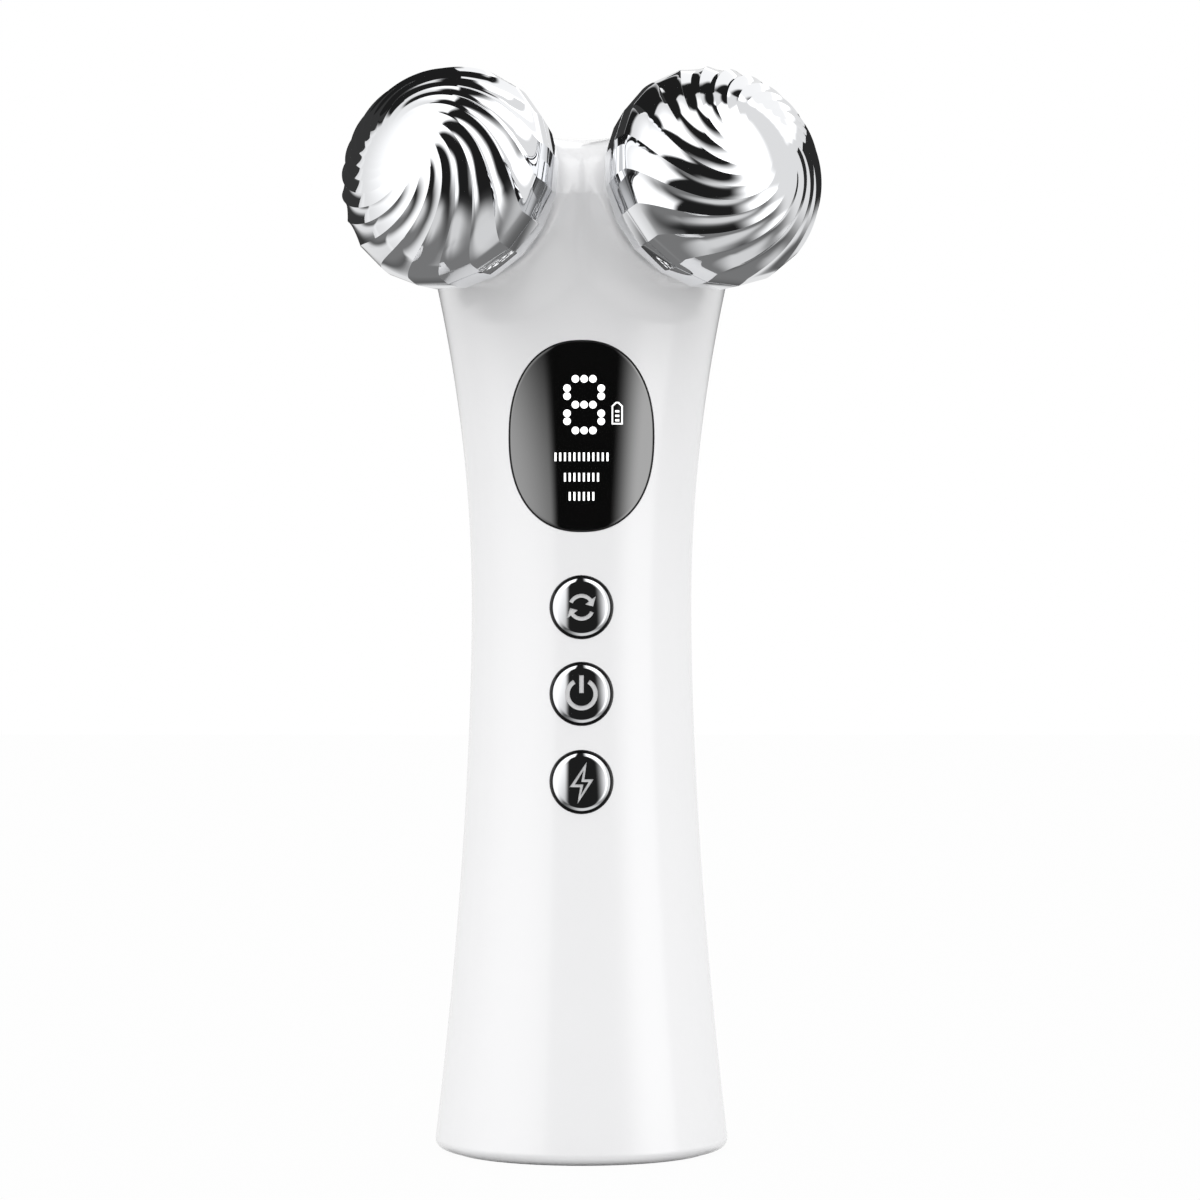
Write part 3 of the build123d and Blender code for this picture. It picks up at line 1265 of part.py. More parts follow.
with BuildPart() as charge_leads:
    for side in SIDES.values():
        low, middle, high = (side * across for across in CHARGE_LEAD_X)
        on_charge_board = charge_board_front - WIRE_RADIUS
        route = [
            (low, on_charge_board, CHARGE_LEAD_Z[0]),
            (low, on_charge_board, CHARGE_LEAD_Z[1]),
            (middle, CHARGE_LEAD_Y[0], CHARGE_LEAD_Z[2]),
            (middle, CHARGE_LEAD_Y[1], CHARGE_LEAD_Z[3]),
            (high, on_front, MAIN_BOARD_BOTTOM - CHARGE_LEAD_END[0]),
            (high, on_front, MAIN_BOARD_BOTTOM + CHARGE_LEAD_END[1]),
        ]
        add(wire(route))
write(charge_leads.part, "charge_leads")

with BuildPart() as motor_leads:
    for side in SIDES.values():
        near, far = (side * across for across in MOTOR_LEAD_X)
        route = [
            (near, MOTOR_Y, MOTOR_BOTTOM),
            (near, MOTOR_Y, MOTOR_BOTTOM - MOTOR_LEAD_DROP[0]),
            (far, on_back, MOTOR_BOTTOM - MOTOR_LEAD_DROP[1]),
            (far, on_back, MOTOR_BOTTOM - MOTOR_LEAD_DROP[2]),
        ]
        add(wire(route))
write(motor_leads.part, "motor_leads")

with BuildPart() as electrode_leads:
    for side in SIDES.values():
        terminal = axle_plane(side, TERMINAL_BACK - WIRE_RADIUS)
        start = terminal.from_local_coords(Vector(0, ELECTRODE_LEAD_START - TERMINAL_TAIL, 0))
        away = terminal.from_local_coords(Vector(0, -TERMINAL_TAIL - ELECTRODE_LEAD_RUN, 0))
        depths = (*ELECTRODE_LEAD_Y, on_back, on_back)
        onward = [(side * x, y, z) for (x, z), y in zip(ELECTRODE_LEAD_XZ, depths)]
        add(wire([tuple(start), tuple(away), *onward]))
write(electrode_leads.part, "electrode_leads")
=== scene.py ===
"""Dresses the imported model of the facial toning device: skins, rollers, display, buttons, finishes and studio.

Laid out as an add-on, and run as a script.  Lengths are metres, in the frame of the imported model: the
origin at the centre of the resting face, +Z up, and the display and buttons on the -Y side.
"""

import json
import math
from contextlib import contextmanager

import bmesh
import bpy
import numpy as np
from bpy.props import FloatProperty, FloatVectorProperty, IntProperty, PointerProperty
from mathutils import Matrix, Vector


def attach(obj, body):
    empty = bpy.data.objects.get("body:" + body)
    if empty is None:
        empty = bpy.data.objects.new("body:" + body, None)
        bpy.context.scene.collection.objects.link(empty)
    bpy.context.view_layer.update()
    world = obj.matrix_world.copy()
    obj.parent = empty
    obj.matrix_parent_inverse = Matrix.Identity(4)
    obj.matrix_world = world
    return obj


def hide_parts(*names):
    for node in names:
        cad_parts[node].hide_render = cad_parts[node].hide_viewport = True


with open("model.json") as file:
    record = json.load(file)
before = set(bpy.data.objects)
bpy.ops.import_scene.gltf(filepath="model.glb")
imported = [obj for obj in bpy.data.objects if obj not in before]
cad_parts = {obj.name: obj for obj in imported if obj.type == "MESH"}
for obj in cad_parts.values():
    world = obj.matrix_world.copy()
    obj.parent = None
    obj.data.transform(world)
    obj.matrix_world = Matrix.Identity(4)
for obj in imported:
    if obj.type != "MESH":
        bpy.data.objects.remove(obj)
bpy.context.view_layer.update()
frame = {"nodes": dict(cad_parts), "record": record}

bl_info = {
    "name": "Facial toning device",
    "version": (1, 0, 0),
    "blender": (4, 5, 0),
    "location": "View3D > Sidebar > Toning device",
    "description": "Builds the skins, rollers, display, buttons and studio of a facial toning device",
    "category": "Object",
}

MM = 0.001
SIDES = {"left": -1, "right": 1}

# the body widens from its waist down to the base and up to the head
WAIST_HEIGHT, HEAD_HEIGHT = 85.0 * MM, 147.0 * MM
FRONT = (18.8 * MM, 14.6 * MM, 22.4 * MM)  # depth before the axis at the base, the waist and the head
BACK = (18.8 * MM, 14.6 * MM, 11.8 * MM)  # and behind it
BASE_FLARE, HEAD_FLARE, BROW_FLARE = 1.76, 2.0, 3.0  # powers of the widening down, up, and up in front
SHELL_BOTTOM, BASE_ROUND = 0.4 * MM, 1.7 * MM
DOME_TOP, DOME_RADIUS, DOME_CENTRE_Y, DOME_EDGE = 157.0 * MM, 40.0 * MM, -5.0 * MM, 5.0 * MM
COLLAR_FACE, COLLAR_LENGTH, COLLAR_EDGE = -10.335 * MM, 14.0 * MM, 0.8 * MM
CLEAR_OF_BODY = 40 * MM  # from the axis of the handle

# rollers: their centres, their axles, and how far each is turned at rest
ROLLER_CENTRE = (19.6 * MM, -25.0 * MM, 148.9 * MM)
AXLE_OUT, AXLE_UP = math.radians(31.4), math.radians(16.25)
REST_ANGLE = {"left": math.radians(13.1), "right": math.radians(10.9)}

# degrees from a roller's pole, one for each row of a ridge: where the scoop starts, where the ridges end, the rim
SCOOP_START, RIDGES_END, RIM = 9.0, 82.0, 92
SCOOP_GROWTH, SCOOP_FADE = 38.0, 16.0  # degrees over which the scoop deepens and runs out again
RIDGE_COLUMNS, INNER_ROWS, INNER_STEP = 9, 24, 4.0  # the wall's inner side has a row every four degrees
LAST_ROW = float(RIM + INNER_ROWS)
FACET_MIDDLE, FACET_REAR = 111, 131  # degrees from the pole
FACET_GAP, FACET_WALL, REAR_WALL, REAR_STEP = 0.12 * MM, 1.4 * MM, 1.5 * MM, 1.0 * MM
FACET_BORE, FACET_BEVEL = 5.35 * MM, 0.09 * MM

# display window
# the window's rounded rim is painted matt black over the third width here: a painted shade that widens the dark line
# of the gap round it
DISPLAY_HEIGHT, SQUARENESS, RIM_SHADE_WIDTH = 110.9 * MM, 2.3, 0.24 * MM
LENS_PROUD, LENS_BACK, LENS_EDGE = 0.15 * MM, 1.2 * MM, 0.22 * MM
POCKET_BACK, LENS_GAP, LENS_LEDGE = 1.45 * MM, 0.08 * MM, 1.8 * MM
MARK_THICKNESS, MARK_LIFT = 0.04 * MM, 0.01 * MM
DIGIT_PLACE, DIGIT_HALF_WIDTH, DIGIT_HALF_HEIGHT = (0.4 * MM, 4.8 * MM), 2.6 * MM, 3.9 * MM
SIDE_PAIR, SIDE_PAIR_HEIGHT = 1.2 * MM, 1.9 * MM  # the pairs of dots up the sides of the digit
LEVEL_BAR, LEVEL_STEP = (0.3 * MM, 0.04 * MM, 1.3 * MM), 0.72 * MM
LEVEL_ROWS = ((12, 3.1 * MM), (8, 6.2 * MM), (6, 9.1 * MM))  # bars in a row, and how far below the middle it is

# buttons: their heights, the caps and the rings round them
BUTTONS = {"mode": 84.9 * MM, "power": 71.7 * MM, "level": 58.3 * MM}
BUTTON_PROUD, BUTTON_DEPTH, CAP_EDGE = 0.35 * MM, 3.3 * MM, 0.03 * MM
CROWN_RISE = 0.75  # share of a cap's crown that stands out in its middle; the rest falls back at its sides
FLANGE_GAP, FLANGE_WIDTH, FLANGE_THICKNESS = 0.3 * MM, 1.0 * MM, 0.8 * MM
BEZEL_GAP, BEZEL_WALL, BEZEL_PROUD, BEZEL_EDGE = 0.1 * MM, 0.34 * MM, 0.1 * MM, 0.05 * MM
HOLE_GAP = 0.05 * MM

# studio: how far the floor reaches, the sideways shift of the view, and the cards behind the rollers
FLOOR_REACH, VIEW_SHIFT = 1.6, 18.5 / 1200
CARD_REACH, CARD_FADE, CARD_EDGE_LIGHT = 150 * MM, 35 * MM, 0.85
CARDS = {  # first and last azimuth, lower and upper edge, colour
    "dark_card": ((-178, -100), (106 * MM, 270 * MM), "#3A3A3A"),
    "dark_card_right": ((96, 178), (106 * MM, 205 * MM), "#2E2E2E"),
}


def linear(code):
    """An sRGB hex colour as the linear colour that a shader takes."""
    parts = [int(code[k : k + 2], 16) / 255 for k in (1, 3, 5)]
    return tuple(c / 12.92 if c <= 0.04045 else ((c + 0.055) / 1.055) ** 2.4 for c in parts) + (1.0,)


# ---------------------------------------------------------------- settings
class BodySettings(bpy.types.PropertyGroup):
    base_width: FloatProperty(
        name="Base half width", description="Half width of the foot", default=23.1 * MM, unit="LENGTH"
    )
    waist_width: FloatProperty(
        name="Waist half width", description="Half width at the waist", default=17.2 * MM, unit="LENGTH"
    )
    head_width: FloatProperty(
        name="Head half width", description="Half width of the head", default=25.4 * MM, unit="LENGTH"
    )
    collar_radius: FloatProperty(
        name="Collar radius", description="Radius of the seats under the rollers", default=12.6 * MM, unit="LENGTH"
    )
    collar_blend: FloatProperty(
        name="Collar blend", description="Fillet between the collars and the head", default=4.0 * MM, unit="LENGTH"
    )
    wall: FloatProperty(name="Wall", description="Wall thickness of the shells", default=2.2 * MM, unit="LENGTH")
    seam_width: FloatProperty(
        name="Seam width", description="Width of the groove between the shells", default=0.24 * MM, unit="LENGTH"
    )
    seam_depth: FloatProperty(
        name="Seam depth", description="Depth of the groove between the shells", default=0.35 * MM, unit="LENGTH"
    )
    colour: FloatVectorProperty(
        name="Colour", description="Colour of the shells", subtype="COLOR", default=linear("#F1F1F2")[:3], size=3
    )


class RollerSettings(bpy.types.PropertyGroup):
    radius: FloatProperty(
        name="Radius", description="Radius to the crests of the ridges", default=16.9 * MM, unit="LENGTH"
    )
    squash: FloatProperty(name="Squash", description="Half length along the axle over the radius", default=0.86)
    ridges: IntProperty(name="Ridges", description="Ridges round each roller", default=19, min=3)
    twist: FloatProperty(
        name="Twist",
        description="How far a ridge winds on its way to the pole",
        default=math.radians(160),
        unit="ROTATION",
    )
    scoop: FloatProperty(
        name="Scoop", description="Depth of the hollow between two ridges", default=0.42 * MM, unit="LENGTH"
    )
    wall: FloatProperty(name="Wall", description="Wall thickness of a roller", default=1.6 * MM, unit="LENGTH")


class DisplaySettings(bpy.types.PropertyGroup):
    half_width: FloatProperty(
        name="Half width", description="Half width of the display window", default=11.1 * MM, unit="LENGTH"
    )
    half_height: FloatProperty(
        name="Half height", description="Half height of the display window", default=14.5 * MM, unit="LENGTH"
    )
    dot_radius: FloatProperty(
        name="Dot radius", description="Radius of one lit dot of the digit", default=0.58 * MM, unit="LENGTH"
    )
    dot_pitch: FloatProperty(
        name="Dot pitch", description="Distance between dots in a row", default=1.33 * MM, unit="LENGTH"
    )
    light: FloatVectorProperty(
        name="Light", description="Colour of the lit marks", subtype="COLOR", default=(1.0, 1.0, 1.0), size=3
    )


class ButtonSettings(bpy.types.PropertyGroup):
    radius: FloatProperty(name="Radius", description="Radius of a button cap", default=4.4 * MM, unit="LENGTH")
    chamfer: FloatProperty(
        name="Chamfer", description="Width of the bright chamfer round a cap", default=0.45 * MM, unit="LENGTH"
    )
    fall: FloatProperty(name="Fall", description="How far the chamfer falls back", default=0.24 * MM, unit="LENGTH")
    dome: FloatProperty(
        name="Dome", description="How far the middle of a cap rises over its edge", default=0.1 * MM, unit="LENGTH"
    )
    crown: FloatProperty(
        name="Crown",
        description="How much further the sides of a cap fall back than the body",
        default=0.3 * MM,
        unit="LENGTH",
    )
    engraving: FloatProperty(
        name="Engraving", description="Depth of the engraved symbols", default=0.12 * MM, unit="LENGTH"
    )


class StudioSettings(bpy.types.PropertyGroup):
    camera_distance: FloatProperty(
        name="Camera distance", description="From the camera to the axis of the handle", default=0.52, unit="LENGTH"
    )
    camera_height: FloatProperty(
        name="Camera height", description="Height of the camera over the floor", default=86.0 * MM, unit="LENGTH"
    )
    lens: FloatProperty(name="Lens", description="Focal length in millimetres", default=99.5)
    softbox: FloatProperty(name="Softboxes", description="Strength of the two side softboxes", default=1.45)
    fill: FloatProperty(name="Fill", description="Strength of the soft light from above", default=1.59)


# ---------------------------------------------------------------- form of the body
def axle_matrix(side, turn=0.0):
    """Local frame of a roller: its Z is the axle, pointing outwards."""
    out = AXLE_OUT * side
    normal = Vector((math.sin(out) * math.cos(AXLE_UP), -math.cos(out) * math.cos(AXLE_UP), math.sin(AXLE_UP)))
    across = Vector((math.cos(out), math.sin(out), 0))
    upward = normal.cross(across)
    centre = Vector((ROLLER_CENTRE[0] * side, ROLLER_CENTRE[1], ROLLER_CENTRE[2]))
    basis = Matrix((across, upward, normal)).transposed().to_4x4()
    return Matrix.Translation(centre) @ basis @ Matrix.Rotation(turn, 4, "Z")


def flare(height, base, waist, head, power=HEAD_FLARE):
    """A half width at some heights, from its values at the base, the waist and the head."""
    below = np.clip((WAIST_HEIGHT - height) / WAIST_HEIGHT, 0, None)
    above = np.clip((height - WAIST_HEIGHT) / (HEAD_HEIGHT - WAIST_HEIGHT), 0, 1)
    return waist + (base - waist) * below**BASE_FLARE + (head - waist) * above**power


def round_union(a, b, radius):
    """Two forms joined with a fillet, as signed distances."""
    inside = np.hypot(np.clip(radius - a, 0, None), np.clip(radius - b, 0, None))
    return np.maximum(radius, np.minimum(a, b)) - inside


def round_meet(a, b, radius):
    """What two forms share, with its edge rounded, as signed distances."""
    return -round_union(-a, -b, radius)


def body_value(points, inset):
    """Signed distance, nearly, from points to the outside of the body moved in by inset."""
    body = bpy.context.scene.toning_body
    x, y, z = points[..., 0], points[..., 1], points[..., 2]
    across = flare(z, body.base_width, body.waist_width, body.head_width) - inset
    front, back = flare(z, *FRONT, power=BROW_FLARE), flare(z, *BACK)
    middle, depth = (back - front) / 2, (front + back) / 2 - inset
    u, v = x / across, (y - middle) / depth
    ring = np.maximum(np.hypot(u, v), 1e-9)
    side = ring * (ring - 1) / np.maximum(np.hypot(u / across, v / depth), 1e-9)
    dome_z = z - (DOME_TOP - DOME_RADIUS)
    dome = np.sqrt(x**2 + (y - DOME_CENTRE_Y) ** 2 + np.clip(dome_z, 0, None) ** 2) - (DOME_RADIUS - inset)
    value = round_meet(side, dome, DOME_EDGE - inset)
    edge = max(COLLAR_EDGE - inset, 0.1 * MM)
    collars = []
    for sign in SIDES.values():
        frame_of_axle = np.array(axle_matrix(sign).inverted())
        local = points @ frame_of_axle[:3, :3].T + frame_of_axle[:3, 3]
        end = local[..., 2] - (COLLAR_FACE - inset)
        value = round_meet(value, end, edge)
        tube = np.hypot(local[..., 0], local[..., 1]) - (body.collar_radius - inset)
        root = COLLAR_FACE - COLLAR_LENGTH - local[..., 2]
        collars.append(np.maximum(round_meet(tube, end, edge), root))
    for collar in collars:
        value = round_union(value, collar, body.collar_blend)
    if inset < BASE_ROUND:
        value = round_meet(value, SHELL_BOTTOM - z, BASE_ROUND)
    return value


def cast(origins, directions, inset, reach=60 * MM, halvings=26):
    """Where rays from inside the body come out through its outside moved in by inset."""
    near, far = np.zeros(origins.shape[:-1]), np.full(origins.shape[:-1], reach)
    for _ in range(halvings):
        middle = (near + far) / 2
        outside = body_value(origins + directions * middle[..., None], inset) > 0
        near, far = np.where(outside, near, middle), np.where(outside, middle, far)
    return origins + directions * near[..., None]


def front_point(x, z, inset):
    """The points at x and z on the front of the body moved in by inset."""
    x, z = np.asarray(x, float), np.asarray(z, float)
    origins = np.stack([x, np.zeros_like(x), z], -1)
    return cast(origins, np.broadcast_to(np.array((0.0, -1.0, 0.0)), origins.shape), inset)


def front_depth(height):
    """Where the middle of the body's front is at a height, along Y."""
    return float(front_point(0.0, height, 0.0)[1])


def body_normals(points, inset):
    """Which way the outside of the body, moved in by inset, faces at some points."""
    step = 0.02 * MM
    slope = [
        body_value(points + step * axis, inset) - body_value(points - step * axis, inset) for axis in np.eye(3)
    ]
    slope = np.stack(slope, -1)
    return slope / np.maximum(np.linalg.norm(slope, axis=-1, keepdims=True), 1e-12)


# ---------------------------------------------------------------- meshes
def new_object(name, mesh, body, slot, *nodes):
    """Links a finished mesh as a piece that rides on a body and stands for CAD nodes; its slot is not used."""
    obj = bpy.data.objects.new(name, mesh)
    bpy.context.scene.collection.objects.link(obj)
    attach(obj, body)
    if nodes:
        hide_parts(*nodes)
    return obj


@contextmanager
def editing(mesh):
    """A mesh opened for editing, and written back afterwards."""
    work = bmesh.new()
    work.from_mesh(mesh)
    yield work
    work.to_mesh(mesh)
    work.free()


def mesh_from(name, vertices, faces, merge=1e-7):
    """A mesh with doubled vertices and empty faces taken out."""
    mesh = bpy.data.meshes.new(name)
    mesh.from_pydata([tuple(v) for v in vertices], [], faces)
    with editing(mesh) as work:
        bmesh.ops.remove_doubles(work, verts=work.verts, dist=merge)
        bmesh.ops.dissolve_degenerate(work, edges=work.edges, dist=merge)
    return mesh


def closed_mesh(name, vertices, faces):
    """A closed mesh whose faces point outwards."""
    mesh = mesh_from(name, vertices, faces)
    outward(mesh)
    return mesh


def outward(mesh):
    """Turns the faces of a closed mesh outwards."""
    with editing(mesh) as work:
        bmesh.ops.recalc_face_normals(work, faces=work.faces)


def coordinates(mesh):
    """The vertices of a mesh, as an array of points."""
    points = np.zeros(len(mesh.vertices) * 3)
    mesh.vertices.foreach_get("co", points)
    return points.reshape(-1, 3)


def move_vertices(mesh, points):
    """Puts the vertices of a mesh at new points."""
    mesh.vertices.foreach_set("co", points.reshape(-1))
    mesh.update()


def shade(mesh, angle):
    """Smooth shading, except over edges sharper than the angle in degrees."""
    mesh.shade_smooth()
    mesh.set_sharp_from_angle(angle=math.radians(angle))


def joined(name, meshes):
    """One mesh of several."""
    result = bpy.data.meshes.new(name)
    with editing(result) as work:
        for mesh in meshes:
            work.from_mesh(mesh)
    return result


def grid_faces(rows, columns, first=0, flip=False, ring=False):
    """Quads of a grid of vertices; with ring, each row closes on itself."""
    faces = []
    for row in range(rows - 1):
        for column in range(columns if ring else columns - 1):
            a, b = first + row * columns + column, first + row * columns + (column + 1) % columns
            quad = (a, b, b + columns, a + columns)
            faces.append(quad[::-1] if flip else quad)
    return faces


def band_faces(one, other, count):
    """Quads between two closed rings of count vertices, which start at one and at other."""
    return [(one + k, one + (k + 1) % count, other + (k + 1) % count, other + k) for k in range(count)]


def cut(mesh, cutter, lining=None):
    """Takes a closed cutter out of a closed mesh; the cut walls take the lining, if one is given."""
    if lining:
        cutter.materials.append(lining)
    target, tool = (bpy.data.objects.new("target", mesh), bpy.data.objects.new("tool", cutter))
    for obj in (target, tool):
        bpy.context.scene.collection.objects.link(obj)
    modifier = target.modifiers.new("cut", "BOOLEAN")
    modifier.object, modifier.operation, modifier.solver = tool, "DIFFERENCE", "MANIFOLD"
    modifier.material_mode = "TRANSFER" if lining else "INDEX"
    evaluated = target.evaluated_get(bpy.context.evaluated_depsgraph_get())
    result = bpy.data.meshes.new_from_object(evaluated)
    for obj in (target, tool):
        bpy.data.objects.remove(obj)
    if not result.polygons:
        raise RuntimeError(f"the cut in {mesh.name} left nothing")
    result.name = mesh.name
    return result


def lathe(name, profile, place, segments=96, close=False):
    """A closed turned form: profile is (radius, height) pairs, turned about place's Z."""
    turns = [2 * math.pi * k / segments for k in range(segments)]
    points = [place @ Vector((r * math.cos(t), r * math.sin(t), h)) for r, h in profile for t in turns]
    faces = grid_faces(len(profile), segments, ring=True)
    if close:
        faces += band_faces((len(profile) - 1) * segments, 0, segments)
    return closed_mesh(name, points, faces)


def prism(name, outline, place, depth):
    """A closed prism over an outline of (x, y) pairs, from place's XY plane down by depth."""
    count = len(outline)
    points = [place @ Vector((x, y, 0)) for x, y in outline] + [place @ Vector((x, y, -depth)) for x, y in outline]
    faces = [tuple(range(count)), tuple(reversed(range(count, 2 * count)))]
    faces += [(k, k + count, (k + 1) % count + count, (k + 1) % count) for k in range(count)]
    return closed_mesh(name, points, faces)


def ring_prism(name, outer, inner, place, depth):
    """A closed frame between two outlines of equal count."""
    count = len(outer)
    levels = [(outer, 0.0), (outer, -depth), (inner, -depth), (inner, 0.0)]
    points = [place @ Vector((x, y, h)) for outline, h in levels for x, y in outline]
    faces = []
    for level in range(4):
        faces += band_faces(level * count, (level + 1) % 4 * count, count)
    return closed_mesh(name, points, faces)


def frame_outline(points, width):
    """An outline of (x, y) pairs moved in by width."""
    inner = []
    count = len(points)
    for k in range(count):
        before, here, after = (Vector(points[(k + d) % count]) for d in (-1, 0, 1))
        first, second = (here - before).normalized(), (after - here).normalized()
        bisector = Vector((-(first + second).y, (first + second).x)).normalized()
        stretch = max(0.3, bisector.dot(Vector((-first.y, first.x))))
        inner.append(tuple(here + bisector * width / stretch))
    return inner


def arc_band(radius, width, start, end, steps=40):
    """A band along an arc, as one closed outline of (x, y) pairs; angles in degrees."""
    turns = [math.radians(start + (end - start) * k / steps) for k in range(steps + 1)]
    outer = [((radius + width / 2) * math.cos(t), (radius + width / 2) * math.sin(t)) for t in turns]
    inner = [((radius - width / 2) * math.cos(t), (radius - width / 2) * math.sin(t)) for t in reversed(turns)]
    return outer + inner


def front_place(z, y=-CLEAR_OF_BODY):
    """A frame at the front whose Z looks out of the display and whose Y is up."""
    return Matrix.Translation((0, y, z)) @ Matrix.Rotation(math.radians(90), 4, "X")


def front_stack(name, height, loops, close=False, count=128):
    """A closed form whose rings follow the front of the body round a point at a height.
    Each loop is (radius, inset, depth): on the front moved in by inset, or depth behind its middle."""
    turns = np.linspace(0, 2 * math.pi, count, endpoint=False)
    middle = front_depth(height)
    points = []
    for radius, inset, depth in loops:
        ring = front_point(radius * np.cos(turns), height + radius * np.sin(turns), inset or 0.0)
        if depth is not None:
            ring[:, 1] = middle + depth
        points.append(ring)
    faces = grid_faces(len(loops), count, ring=True)
    if close:
        faces += band_faces((len(loops) - 1) * count, 0, count)
    return closed_mesh(name, np.concatenate(points), faces)


def display_outline(smaller, count=120):
    """The rounded outline of the display, as (x, z) pairs round its middle."""
    display = bpy.context.scene.toning_display
    width, height = display.half_width - smaller, display.half_height - smaller
    power = 2 / SQUARENESS
    turns = [2 * math.pi * k / count for k in range(count)]
    return [
        (
            math.copysign(abs(math.cos(t)) ** power * width, math.cos(t)),
            math.copysign(abs(math.sin(t)) ** power * height, math.sin(t)),
        )
        for t in turns
    ]


def window_solid(name, smaller, front, back, rings=10, edge=0.0):
    """A closed slab with the display's outline between two offsets of the body's front.
    front is an inset or None for a flat front well outside; edge rounds the front's rim."""
    outline = np.array(display_outline(smaller))
    count = len(outline)
    flat = np.concatenate([outline * (k / rings) for k in range(rings + 1)])
    x, z = flat[:, 0], flat[:, 1] + DISPLAY_HEIGHT
    rear = front_point(x, z, back)
    face = np.stack([x, np.full_like(x, -CLEAR_OF_BODY), z], -1) if front is None else front_point(x, z, front)
    if edge:
        # the last loops step back and out, so that the rim is rounded
        inner = outline - outline / np.linalg.norm(outline, axis=1, keepdims=True) * edge
        rim = []
        for turn in np.linspace(0, math.pi / 2, 5):
            ring = inner + (outline - inner) * math.sin(turn)
            rim.append(front_point(ring[:, 0], ring[:, 1] + DISPLAY_HEIGHT, front + edge * (1 - math.cos(turn))))
        face = np.concatenate([face[:-count], *rim])
    faces = grid_faces(len(face) // count, count, ring=True)
    faces += grid_faces(rings + 1, count, first=len(face), flip=True, ring=True)
    faces += band_faces(len(face) - count, len(face) + rings * count, count)
    return closed_mesh(name, np.concatenate([face, rear]), faces)


def span(start, *stops):
    """Values from start on, through stops of (end, step)."""
    values = [start]
    for end, step in stops:
        start = values[-1]
        count = max(1, round(abs(end - start) / step))
        values += [start + (end - start) * (k + 1) / count for k in range(count)]
    return values


def shell_mesh(name, facing):
    """One half of the body, facing -1 for the front and 1 for the rear, with its wall and half the seam.
    Rays from the handle's axis find its points: level ones up to the crown, and a fan of them above."""
    body = bpy.context.scene.toning_body
    collars_start, crown = 122 * MM, 140 * MM
    rounding = [SHELL_BOTTOM + BASE_ROUND * (1 - math.cos(math.radians(t))) for t in range(0, 91, 15)]
    rows = [(z, 0.0) for z in rounding]
    rows += [(z, 0.0) for z in span(rounding[-1], (collars_start, 2.4 * MM), (crown, 0.45 * MM))[1:]]
    rows += [(crown, math.radians(t)) for t in span(0, (50, 0.95), (90, 1.6))[1:]]
    # the front is finer in its middle, where the collars, the window and the buttons are
    angles = span(0, (14, 1.75), (166, 0.8), (180, 1.75)) if facing < 0 else span(0, (180, 2.0))
    gap = facing * body.seam_width / 2
    columns = [(0.0, 0.0, body.seam_depth), (gap, 0.0, body.seam_depth)]
    columns += [(gap, math.radians(a), 0.0) for a in angles]
    columns += [(gap, math.pi, body.seam_depth), (0.0, math.pi, body.seam_depth)]
    height, tilt = np.array(rows).T
    offset, turn, inset = np.array(columns).T
    origins = np.zeros((len(rows), len(columns), 3))
    origins[..., 1] = offset[None, :]
    origins[..., 2] = height[:, None]
    level = np.cos(tilt)[:, None]
    directions = np.zeros_like(origins)
    directions[..., 0] = level * np.cos(turn)[None, :]
    directions[..., 1] = level * np.sin(turn)[None, :] * facing
    directions[..., 2] = np.sin(tilt)[:, None]
    groove = cast(origins, directions, body.seam_depth)
    outer = np.where((inset > 0)[None, :, None], groove, cast(origins, directions, 0.0))
    inner = cast(origins, directions, body.wall)
    wide, count, flip = len(columns), len(rows) * len(columns), facing < 0
    faces = grid_faces(len(rows), wide, flip=flip) + grid_faces(len(rows), wide, first=count, flip=not flip)
    for column in (0, wide - 1):
        for row in range(len(rows) - 1):
            a, b = row * wide + column, (row + 1) * wide + column
            quad = (a, b, b + count, a + count)
            faces.append(quad[::-1] if (column == 0) == flip else quad)
    for column in range(wide - 1):
        quad = (column, column + 1, column + 1 + count, column + count)
        faces.append(quad if flip else quad[::-1])
    return mesh_from(name, np.concatenate([outer.reshape(-1, 3), inner.reshape(-1, 3)]), faces)


def smooth_by_form(mesh):
    """Gives the skin the exact normals of its form, and leaves cut walls flat."""
    body = bpy.context.scene.toning_body
    mesh.shade_smooth()
    points = coordinates(mesh)
    loops = np.zeros(len(mesh.loops), int)
    mesh.loops.foreach_get("vertex_index", loops)
    totals = np.zeros(len(mesh.polygons), int)
    mesh.polygons.foreach_get("loop_total", totals)
    flat = np.zeros(len(mesh.polygons) * 3)
    mesh.polygons.foreach_get("normal", flat)
    normals = np.repeat(flat.reshape(-1, 3), totals, axis=0)
    for inset, facing in ((0.0, 1), (body.wall, -1)):
        at = np.abs(body_value(points, inset))
        wanted = (facing * body_normals(points, inset))[loops]
        close = (at[loops] < 0.03 * MM) & ((wanted * normals).sum(1) > 0.85)
        normals = np.where(close[:, None], wanted, normals)
    mesh.normals_split_custom_set([tuple(n) for n in normals])


# ---------------------------------------------------------------- nodes
def node(tree, kind, inputs=None, **settings):
    """Adds a node, sets its settings, and fills its inputs with values or with other nodes' sockets."""
    made = tree.nodes.new(kind)
    for key, value in settings.items():
        setattr(made, key, value)
    for key, value in (inputs or {}).items():
        if isinstance(value, bpy.types.NodeSocket):
            tree.links.new(value, made.inputs[key])
        else:
            made.inputs[key].default_value = value
    return made


def work_out(tree, known, rule):
    """Adds a rule to a tree.  Each line of it names a result and gives its operation and values, which are
    numbers or the names of results so far; known holds what the rule starts from, and takes every result."""
    for name, operation, *values in rule:
        inputs = {place: known.get(value, value) for place, value in enumerate(values)}
        known[name] = node(tree, "ShaderNodeMath", inputs, operation=operation).outputs[0]


def empty_material(name):
    """A new material with no nodes yet, and its tree."""
    material = bpy.data.materials.new(name)
    material.use_nodes = True
    material.node_tree.nodes.clear()
    return material, material.node_tree


